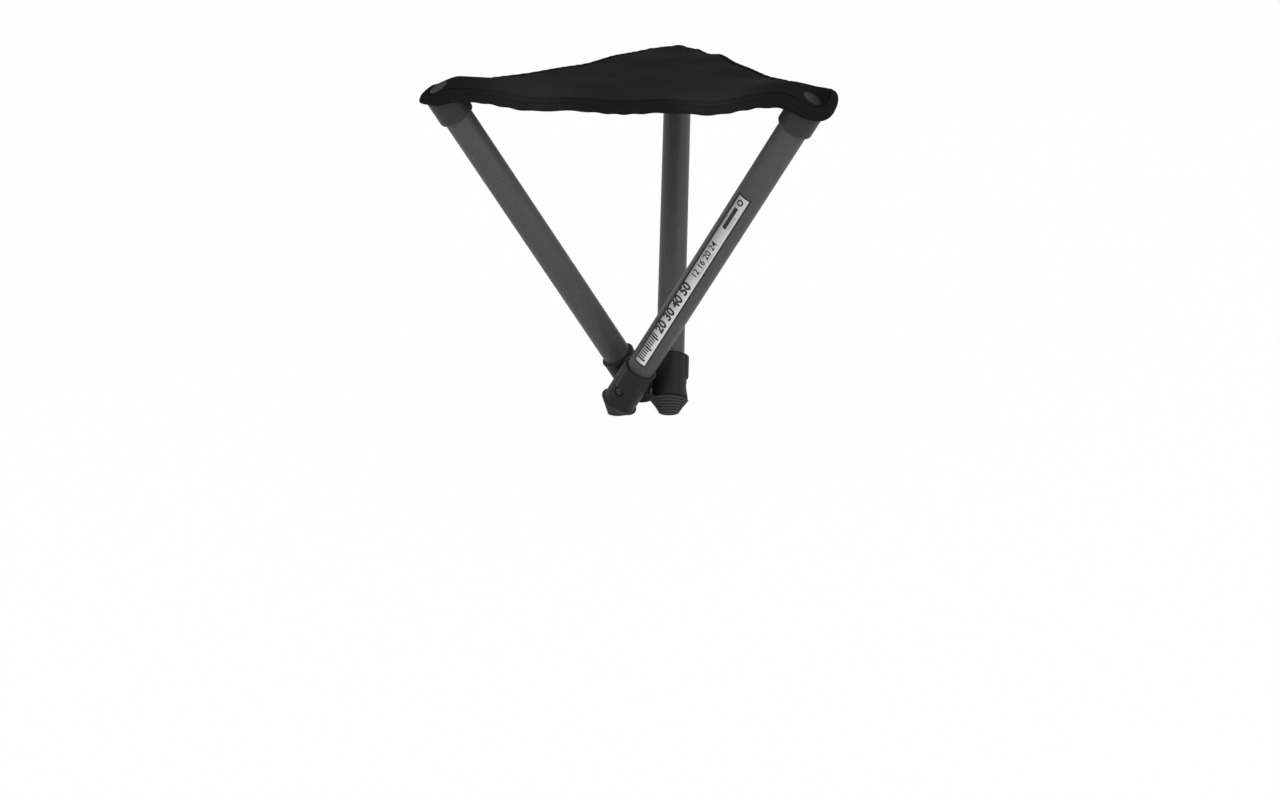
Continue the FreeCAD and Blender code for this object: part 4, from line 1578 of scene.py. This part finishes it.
    def build(self) -> None:
        """Makes the noses and panels of all corners, cut from one surface with one set of normals."""
        grids = {leg: self.corner_grid(leg) for leg in self.legs}
        points = np.concatenate([grid["points"].reshape(-1, 3) for grid in grids.values()])
        maps = {
            name: np.concatenate([grid[name].reshape(-1, 2) for grid in grids.values()])
            for name in ("uv", "hem")
        }
        cells = np.round(points * self.cells_per_mm).astype(np.int64)
        _, first, same = np.unique(cells, axis=0, return_index=True, return_inverse=True)
        same = same.ravel()
        start = 0
        every, owners = [], []
        for leg, grid in grids.items():
            rows, columns = grid["points"].shape[:2]
            number = start + np.arange(rows * columns).reshape(rows, columns)
            start += rows * columns
            for part in Part:
                every.append(self.part_faces(number, part))
                owners.append((leg, part, number))
        spots = points[first]
        normals = smooth_normals(spots, same[np.concatenate(every)])
        for (leg, part, number), own in zip(owners, every):
            walls = self.part_walls(number, part)
            corners = np.concatenate([own, walls])
            wall_shading = face_normals(spots, same[walls])[:, None].repeat(4, 1)
            shading = np.concatenate([normals[same[own]], wall_shading])
            own_maps = {name: values[corners] for name, values in maps.items()}
            self.raise_part(leg, part, spots, same[corners], own_maps, shading, grids[leg])

    def columns_of(self, part: Part) -> tuple[int, int]:
        """The first and last column of a part in its corner's grid."""
        total = 2 * (self.nose_columns + self.hem_columns)
        middle = total // 2
        half = self.nose_columns + self.cut_column()
        if part is Part.NOSE:
            return middle - half, middle + half
        return (middle + half, total) if part is Part.LEFT_HAND else (0, middle - half)

    def half_edge(self) -> float:
        """Half the distance between two corners."""
        return float(np.linalg.norm(self.middle[:2] - self.corners[LEGS[0]][:2])) * math.sin(math.pi / 3.0)

    def cut_column(self) -> int:
        """How many spokes past the nose the cut lies."""
        return int(np.argmin(np.abs(self.hem_stations() - self.cut_at)))

    def hem_stations(self) -> np.ndarray:
        """Where the spokes past the nose end along the hem, closer together near the nose."""
        share = np.linspace(0.0, 1.0, self.hem_columns + 1)[1:]
        return self.half_edge() * (self.hem_evenness * share + (1.0 - self.hem_evenness) * share**2)

    def crest_stations(self) -> np.ndarray:
        """Where the spokes past the nose start: below 0 round the hole, above 0 along the ridge."""
        hem = self.hem_stations()
        far = np.linalg.norm(self.middle[:2] - self.corners[LEGS[0]][:2]) - self.hole_radius
        round_hole = (math.pi - self.leave_turn) * self.hole_radius
        ends = [0.0, self.hole_end, self.cut_at, self.inner_spoke[0], hem[-1]]
        line = np.interp(hem, ends, [-round_hole, 0.0, self.crest_at_cut, self.inner_spoke[1], far])
        line[np.argmin(np.abs(hem - self.hole_end))] = 0.0
        return line

    def hole_columns(self) -> int:
        """How many spokes past the nose still start at the rivet hole."""
        return int(np.sum(self.crest_stations() <= 0.0))

    def part_faces(self, number: np.ndarray, part: Part) -> np.ndarray:
        """The faces of one part: its columns of the corner's grid, outer and inner face."""
        low, high = self.columns_of(part)
        own = number[:, low : high + 1]
        return self.quads(own[:-1, :-1], own[:-1, 1:], own[1:, 1:], own[1:, :-1])

    @staticmethod
    def quads(a: np.ndarray, b: np.ndarray, c: np.ndarray, d: np.ndarray) -> np.ndarray:
        """Faces from the numbers of their four corners."""
        return np.stack([a.ravel(), b.ravel(), c.ravel(), d.ravel()], axis=1)

    def part_walls(self, number: np.ndarray, part: Part) -> np.ndarray:
        """The faces that close a part where it is cut: along the ridge or hole, and at both sides."""
        low, high = self.columns_of(part)
        rows, columns = number.shape
        outer = rows // 2
        first, last = number[0], number[-1]
        inner_low, inner_high = low, high
        if part is Part.NOSE:
            rim = self.nose_columns + self.hole_columns()
            inner_low, inner_high = columns // 2 - rim, columns // 2 + rim
        span = slice(inner_low, inner_high), slice(inner_low + 1, inner_high + 1)
        walls = [self.quads(last[span[0]], last[span[1]], first[span[1]], first[span[0]])]
        for column, side in ((low, 1), (high, -1)):
            line = number[:, column]
            above, below = line[:outer], line[::-1][:outer]
            walls.append(self.quads(above[:-1], above[1:], below[1:], below[:-1])[:, ::side])
        return np.concatenate(walls)

    def corner_grid(self, leg: str) -> dict:
        """All the points of one corner's cloth.

        A spoke runs from its start to near its edge, bends down over a curve that is pulled to
        the edge, and goes down the wall; then come the lip and the same rows underneath.

        Args:
            leg: the corner.

        Returns:
            The grid of points, the same grid's places on the flat cloth, its distances inside the
            topstitch and along it, the outer rows' normals, and how many outer rows there are.
        """
        sides = [self.side_columns(leg, side) for side in (-1, 1)]
        tip = {key: value[:1] for key, value in sides[1].items()}
        sides = [{key: value[1:] for key, value in side.items()} for side in sides]
        line = {key: np.concatenate([sides[0][key][::-1], tip[key], sides[1][key]]) for key in tip}
        start, edge, down, drop, out = (line[key] for key in ("start", "edge", "down", "drop", "out"))
        bend = line["bend"][:, None]
        way = start - edge
        length = np.linalg.norm(way[:, :2], axis=1)[:, None]
        turn_in = edge + way * np.minimum(bend / length, self.most_bend)
        turn_in[:, 2] = self.height(turn_in)
        share = np.linspace(0.0, 1.0, self.top_rows)[:, None, None]
        share = share * (1.0 + self.row_crowding * (1.0 - share))
        top = start + (turn_in - start) * share
        top[..., 2] = self.height(top)
        turned_down = edge + down * bend
        t = np.linspace(0.0, 1.0, self.shoulder_rows + 1)[1:, None, None]
        shoulder = (1.0 - t) ** 2 * turn_in + 2.0 * t * (1.0 - t) * edge + t**2 * turned_down
        lower = edge + down * drop[:, None]
        over = np.linspace(0.0, 1.0, self.wall_rows + 1)[1:, None, None]
        wall = turned_down + (lower - turned_down) * over - out * line["tuck"][:, None] * over**3
        face = np.zeros_like(top) + np.where(line["on_cap"][:, None] > 0.5, self.legs[leg].turn[2], UP)
        normal = np.concatenate([face, unit((1.0 - t) * face[:1] + t * out), np.zeros_like(wall) + out])
        outer = np.concatenate([top, shoulder, wall])
        outer = outer + normal * self.relief(outer, line)[..., None]
        share_in = np.array([0.2, 0.8])[:, None, None] * self.thickness
        lip = outer[-1] + down * self.thickness * 0.3 - out * share_in
        inner = (outer - normal * self.thickness)[::-1]
        points = np.concatenate([outer, lip, inner])
        steps = np.linalg.norm(np.diff(outer, axis=0), axis=2)
        run = np.concatenate([np.zeros((1, steps.shape[1])), np.cumsum(steps, axis=0)])
        cloth = start[:, :2] + unit((edge - start)[:, :2]) * run[..., None]
        cloth = np.concatenate([cloth, cloth[-1:], cloth[-1:], cloth[::-1]])
        inside = np.linalg.norm(outer - line["edge"], axis=2) - line["bead"][None]
        inside[self.top_rows :] = -FAR
        hem = np.stack([inside, np.zeros_like(inside) + line["run"]], axis=-1)
        hem = np.concatenate([hem, hem[-1:], hem[-1:], hem[::-1]])
        maps = {"points": points, "uv": cloth, "hem": hem}
        return {**maps, "normal": normal, "outer_rows": len(outer)}

    def relief(self, outer: np.ndarray, line: dict) -> np.ndarray:
        """How far the cloth stands out from its plain form: the rolled hem and its sewn grooves.

        The hem is a band that swells out below a groove, and a second groove runs on top, inside
        the fold, with a welt beside it; small puckers run along both as a sum of sines of the
        distance along the edge. Each form is a bell of the distance from its seam.

        Args:
            outer: the outer face's points.
            line: the spokes' values, as side_columns gives them.

        Returns:
            A distance for each point.
        """
        sewing = self.sewing
        on_wall = (np.arange(len(outer)) >= self.top_rows)[:, None]
        band, s = line["band"][None], line["run"][None]
        above = np.linalg.norm(outer - outer[-1], axis=2)
        bead = np.linalg.norm(outer - line["edge"], axis=2) - line["bead"][None]
        swell = sewing.swell * eased(above, band + 0.2, band - 1.2)
        groove = sewing.groove * bell(above - band, 0.8)
        topstitch = sewing.topstitch * bell(bead, 1.2) - sewing.welt * bell(bead + 3.0, 1.7)
        pucker = sewing.pucker * np.sin(s * 0.83 + 1.3 * np.sin(s * 0.11)) * bell(above - band, 3.0)
        rumple = sewing.rumple * np.sin(s * 0.61 + 2.0 * np.sin(s * 0.07)) * bell(bead, 4.0)
        waves = np.where(on_wall, pucker, rumple) * line["free"][None]
        return np.where(on_wall, swell - groove, -topstitch) + waves

    def side_columns(self, leg: str, side: int) -> dict:
        """The spokes of one side of a corner, from the nose's tip to the middle of the edge.

        Args:
            leg: the corner.
            side: 1 for the left hand of someone who looks inwards, -1 for the right.

        Returns:
            For each spoke its start, the edge where the upper face would meet the wall, the
            wall's way down and drop, the way out, the bend's size, the hem band's height, the
            topstitch's distance, the place along the edge, and how free of the cap it is.
        """
        axes, corner, inwards = self.legs[leg], self.corners[leg], self.inwards(leg)
        shape, edge_shape = self.corner_shapes[leg], self.edge_of(leg, side)
        left_hand = np.cross(UP, inwards) * side
        axis = unit(axes.turn[2] * np.array([shape.slant, shape.slant, 1.0]))
        tip_way = unit(-inwards - axis * float(-inwards @ axis))
        ring_side = np.cross(axis, tip_way)
        ring_side = ring_side * np.sign(ring_side @ left_hand)
        turn = np.linspace(0.0, self.leave_turn, self.nose_columns + 1)
        ring = np.cos(turn)[:, None] * tip_way + np.sin(turn)[:, None] * ring_side
        hem, crest = self.hem_stations(), self.crest_stations()
        edge_way = self.edge_way(leg, side)
        edge_out = unit(-math.sin(math.pi / 6.0) * inwards + math.cos(math.pi / 6.0) * left_hand)
        leave = shape.reach * ring[-1]
        along = leave @ edge_way * (1.0 - hem / hem[-1]) + hem
        settle = eased(hem, 0.0, self.settle_by * hem[-1])
        offset = leave @ edge_out * (1.0 - settle) + self.corner_offset * settle
        narrowing = eased(hem, self.narrow_from * hem[-1], hem[-1])
        offset = offset - (self.corner_offset - self.middle_offset) * narrowing
        hem_edge = corner + along[:, None] * edge_way + offset[:, None] * edge_out
        swing = math.pi + np.minimum(crest, 0.0) / self.hole_radius
        hole = np.cos(swing)[:, None] * tip_way + np.sin(swing)[:, None] * ring_side
        hole_back = self.hole_radius * tip_way * np.array([1.0, 1.0, 0.0])
        ridge = corner - hole_back + inwards * crest[:, None]
        hem_start = np.where((crest <= 0.0)[:, None], corner + self.hole_radius * hole, ridge)
        hem_start[-1, :2] = self.middle[:2]
        between = (corner + self.corners[self.neighbour(leg, side)]) / 2.0
        hem_edge[-1, :2] = (between + self.middle_offset * unit(between - self.middle))[:2]
        start = np.concatenate([corner + self.hole_radius * ring, hem_start])
        edge = np.concatenate([corner + shape.reach * ring, hem_edge])
        start[:, 2], edge[:, 2] = self.height(start), self.height(edge)
        nose_length = self.leave_turn * shape.reach
        run = np.concatenate([turn * shape.reach, nose_length + hem])
        free = eased(run, self.free_from * nose_length, nose_length + self.free_after)[:, None]
        down = unit((1.0 - free) * -axis + free * unit(-UP + self.lean_in * -edge_out))
        ring_out = np.concatenate([ring, np.zeros((len(hem), 3)) + edge_out])
        out = unit((1.0 - free) * ring_out + free * (edge_out + self.lean_up * UP))
        deep = shape.side_drop - shape.tip_drop
        nose_drop = shape.side_drop - deep * np.cos(turn)
        settled = eased(hem, 0.0, self.free_after)
        drop = np.concatenate([nose_drop, nose_drop[-1] * (1.0 - settled) + edge_shape.drop * settled])
        edge_run = (run[-1] - run) * side
        ripple = edge_shape.ripple * free[:, 0]
        drop = drop + ripple * np.sin(edge_run * 0.31 + 2.1 * np.sin(edge_run * 0.06))
        bend = self.hem_round + (shape.bend - self.hem_round) * (1.0 - eased(run, *self.bend_run))
        return {
            "start": start, "edge": edge, "down": down, "drop": drop, "out": out,
            "bend": np.minimum(bend, 0.7 * drop), "band": np.minimum(self.sewing.band, drop - 1.5),
            "tuck": shape.tuck * (1.0 - free[:, 0]),
            "bead": self.sewing.inset + self.sewing.nose_inset * (1.0 - free[:, 0]),
            "run": edge_run, "free": free[:, 0], "on_cap": 1.0 - eased(run, 0.0, self.cap_run),
        }

    def raise_part(
        self, leg: str, part: Part, spots: np.ndarray, faces: np.ndarray,
        maps: dict[str, np.ndarray], shading: np.ndarray, grid: dict,
    ) -> None:
        """Makes the object of one part, with the whole cloth's normals and its stitches.

        Args:
            leg: the corner.
            part: which part of it.
            spots: the whole cloth's points.
            faces: the part's faces, with those that close its cuts.
            maps: each face corner's place on the flat cloth, and its place by the topstitch.
            shading: each face corner's normal.
            grid: the corner's grid.
        """
        name = f"{leg}_seat_nose"
        if part is not Part.NOSE:
            name = f"{leg}_{self.neighbour(leg, part.value)}_seat_cloth"
        seams = self.stitches(part, grid)
        used, local = np.unique(faces, return_inverse=True)
        local = local.reshape(-1, 4)
        mesh = bpy.data.meshes.new(name)
        points = np.vstack([spots[used], seams.points])
        mesh.from_pydata(points * MM, [], np.vstack([local, seams.faces + len(used)]))
        for key, values in (("cut", maps["uv"]), ("hem", maps["hem"])):
            whole = np.vstack([values.reshape(-1, 2), seams.uv[seams.faces].reshape(-1, 2)])
            mesh.uv_layers.new(name=key).data.foreach_set("uv", whole.ravel())
        index = np.repeat([0, 1], [len(local), len(seams.faces)])
        mesh.polygons.foreach_set("material_index", index.astype(np.int32))
        mesh.shade_smooth()
        seam_normals = smooth_normals(seams.points, seams.faces)[seams.faces]
        loops = np.concatenate([shading.reshape(-1, 3), seam_normals.reshape(-1, 3)])
        mesh.normals_split_custom_set(unit(loops))
        self.declare(link_piece(name, mesh, self.cloth, self.finishes.thread), leg, part, grid)

    def declare(self, piece: bpy.types.Object, leg: str, part: Part, grid: dict) -> None:
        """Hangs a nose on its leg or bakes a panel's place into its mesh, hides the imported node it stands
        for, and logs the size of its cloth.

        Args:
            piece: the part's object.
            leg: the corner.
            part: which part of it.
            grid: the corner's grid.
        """
        if part is Part.NOSE:
            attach(piece, f"{leg}_leg")
            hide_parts(f"{leg}_corner_pocket")
        else:
            corner, way = self.corners[leg], self.edge_way(leg, part.value)
            other = self.neighbour(leg, part.value)
            (corner + self.blend_from * way) * MM
            (corner + self.blend_to * way) * MM
            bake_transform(piece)
            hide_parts(f"{leg}_{other}_seat_panel")
        area = self.cloth_area(part, grid)
        width, length = self.cut_size(part, grid, area)
        log.info("%s: %.0f x %.0f mm of cloth", piece.name, width / MM, length / MM)

    def own_grid(self, part: Part, grid: dict) -> np.ndarray:
        """The outer face's points of one part."""
        low, high = self.columns_of(part)
        return grid["points"][: grid["outer_rows"], low : high + 1]

    def cloth_area(self, part: Part, grid: dict) -> float:
        """The area of a part's outer face in square metres: half the diagonals' cross product."""
        own = self.own_grid(part, grid) * MM
        one, two = own[1:, 1:] - own[:-1, :-1], own[1:, :-1] - own[:-1, 1:]
        return float(np.linalg.norm(np.cross(one, two), axis=-1).sum() / 2.0)

    def cut_size(self, part: Part, grid: dict, area: float) -> tuple[float, float]:
        """The width and length in metres of the flat piece that a part is cut from."""
        own = self.own_grid(part, grid) * MM
        spokes = np.linalg.norm(np.diff(own, axis=0), axis=2).sum(axis=0)
        hem = np.linalg.norm(np.diff(own[-1], axis=0), axis=1).sum()
        width = float(spokes.max())
        return width, float(max(hem, area / width * 1.02))

    def stitches(self, part: Part, grid: dict) -> Surface:
        """The hem's stitches: short threads along the groove, a few dozen faces each.

        The groove's line is measured along, and a stitch with six sides is set at each pitch,
        its radius a half ellipse of the place along it.
        """
        low, high = self.columns_of(part)
        row = self.top_rows + self.shoulder_rows + 1
        line = grid["points"][row, low : high + 1]
        out = grid["normal"][row, low : high + 1]
        along = run_along(line)
        count = max(int(along[-1] / self.sewing.pitch), 1)
        spots = (np.arange(count) + 0.5) * along[-1] / count
        centre = read_line(line, along, spots)
        normal = unit(read_line(out, along, spots))
        way = unit(read_line(line, along, spots + 0.5) - read_line(line, along, spots - 0.5))
        side = np.cross(way, normal)
        stations = np.array(self.sewing.stations)
        angle = np.arange(6) * math.pi / 3.0
        thick = self.sewing.thread * np.sqrt(1.0 - stations**2)
        lengthwise = stations[:, None] * self.sewing.half * np.ones_like(angle)
        sideways = thick[:, None] * np.cos(angle)
        outwards = thick[:, None] * np.sin(angle) + self.sewing.proud
        shape = lengthwise[..., None, None] * way + sideways[..., None, None] * side
        shape = shape + outwards[..., None, None] * normal
        points = np.moveaxis(shape + centre, 2, 0)
        ring = np.arange(thick.size * angle.size).reshape(thick.size, angle.size)
        following = np.roll(ring, -1, axis=1)
        faces = np.concatenate([
            self.quads(ring[:-1], following[:-1], following[1:], ring[1:]),
            ring[[0, 0]][[[0], [1]], [[3, 2, 1, 0], [5, 4, 3, 0]]],
            ring[[-1, -1]][[[0], [1]], [[0, 1, 2, 3], [0, 3, 4, 5]]],
        ])
        every = (faces[None] + (np.arange(count) * ring.size)[:, None, None]).reshape(-1, 4)
        around = angle * thick[:, None]
        uv = np.stack([np.tile(lengthwise.ravel(), count), np.tile(around.ravel(), count)], axis=1)
        return Surface(points.reshape(-1, 3), every, uv)


def face_normals(points: np.ndarray, faces: np.ndarray) -> np.ndarray:
    """Unit normals of four-cornered faces: the cross product of their diagonals."""
    corner = points[faces]
    return unit(np.cross(corner[:, 2] - corner[:, 0], corner[:, 3] - corner[:, 1]))


def smooth_normals(points: np.ndarray, faces: np.ndarray) -> np.ndarray:
    """Each point's normal: the sum of the crossed diagonals of the faces round it."""
    corner = points[faces]
    own = np.cross(corner[:, 2] - corner[:, 0], corner[:, 3] - corner[:, 1])
    total = np.zeros_like(points)
    np.add.at(total, faces, own[:, None, :])
    return unit(total)


# The studio


@dataclass
class Studio:
    """A white floor, soft lamps and the camera at the photograph's viewing angle."""

    camera_place: tuple[float, float, float] = (0.3295, -1.7306, 0.5569)
    heading: float = 100.86
    pitch: float = -17.26
    lens: float = 58.40
    aim_height: float = 0.17
    floor_size: float = 14.0
    floor_white: float = 0.95
    floor_clear: float = 0.98
    world_strength: float = 0.78

    def build(self) -> None:
        """Makes the world, floor, lamps and camera."""
        self.world()
        self.floor()
        self.lamp("key_lamp", (-1.0, -1.8, 1.0), 1.3, 9.5)
        self.lamp("fill_lamp", (1.7, -1.2, 0.8), 1.5, 16.0)
        self.lamp("back_lamp", (0.3, 1.7, 1.4), 1.5, 4.0)
        self.camera()
        bpy.context.scene.view_settings.view_transform = "Standard"

    def backdrop(self, nodes: Nodes, lit: bpy.types.Node, white: str, share: float) -> bpy.types.NodeSocket:
        """Shows plain white to the camera and to reflections, and the lit shader to all else.

        Args:
            nodes: the world's or the floor's nodes.
            lit: the shader that the lamps light.
            white: the white's node: a background, or a clear shader that lets the white world show.
            share: how much of the white the camera sees.

        Returns:
            The mixed shader.
        """
        path = nodes.add("ShaderNodeLightPath").outputs
        seen = Sum(nodes, path["Is Camera Ray"])
        for ray in ("Is Glossy Ray", "Is Transmission Ray"):
            seen = seen.most(Sum(nodes, path[ray]))
        plain = nodes.add(white, {"Color": WHITE})
        inputs = {0: seen * share, 1: lit.outputs[0], 2: plain.outputs[0]}
        return nodes.add("ShaderNodeMixShader", inputs).outputs[0]

    def world(self) -> None:
        """An even pale surround."""
        world = bpy.data.worlds.new("studio")
        nodes = Nodes(world)
        lit = nodes.add("ShaderNodeBackground", {"Strength": self.world_strength})
        mixed = self.backdrop(nodes, lit, "ShaderNodeBackground", 1.0)
        nodes.add("ShaderNodeOutputWorld", {"Surface": mixed})
        bpy.context.scene.world = world

    def floor(self) -> None:
        """A white floor at the feet that keeps a soft shadow, and shows the legs that reach below it."""
        half = self.floor_size
        mesh = bpy.data.meshes.new("floor")
        corners = [(-half, -half, 0.0), (half, -half, 0.0), (half, half, 0.0), (-half, half, 0.0)]
        mesh.from_pydata(corners, [], [(0, 1, 2, 3)])
        material = bpy.data.materials.new("floor_white")
        nodes = Nodes(material)
        lit = nodes.add("ShaderNodeBsdfDiffuse", {"Color": grey(self.floor_white)})
        mixed = self.backdrop(nodes, lit, "ShaderNodeBsdfTransparent", self.floor_clear)
        nodes.add("ShaderNodeOutputMaterial", {"Surface": mixed})
        link_piece("floor", mesh, material)

    def lamp(self, name: str, place: tuple[float, float, float], size: float, power: float) -> None:
        """A square soft lamp that faces the stool."""
        data = bpy.data.lights.new(name, "AREA")
        data.size = size
        data.energy = power
        self.aimed(data, place, Vector((0.0, 0.0, self.aim_height)) - Vector(place))

    def camera(self) -> None:
        """The camera, by its place, heading and pitch."""
        data = bpy.data.cameras.new("camera")
        data.lens = self.lens
        data.sensor_width = 36.0
        data.clip_start, data.clip_end = 0.05, 20.0
        heading, pitch = math.radians(self.heading), math.radians(self.pitch)
        level = math.cos(pitch)
        ahead = Vector((math.cos(heading) * level, math.sin(heading) * level, math.sin(pitch)))
        bpy.context.scene.camera = self.aimed(data, self.camera_place, ahead)

    def aimed(
        self, data: bpy.types.Light | bpy.types.Camera, place: tuple[float, float, float], ahead: Vector,
    ) -> bpy.types.Object:
        """Sets up a lamp or camera.

        Args:
            data: the lamp's or camera's own data.
            place: where it stands, in metres.
            ahead: the way it faces.

        Returns:
            Its object.
        """
        placed = bpy.data.objects.new(data.name, data)
        placed.location = place
        placed.rotation_euler = ahead.to_track_quat("-Z", "Y").to_euler()
        bpy.context.scene.collection.objects.link(placed)
        return placed


def main() -> None:
    """Builds the stool's looks and the studio."""
    logging.basicConfig(level=logging.INFO, format="%(name)s: %(message)s")
    finishes = Finishes()
    legs = {name: read_leg(name) for name in LEGS}
    for axes in legs.values():
        TelescopicLeg(axes, finishes).build()
    HeightScale(legs[LABELLED_LEG], finishes).build()
    SeatCloth(legs, finishes).build()
    dress_node("central_hub", finishes.collar)
    Studio().build()


if __name__ == "__main__":
    main()
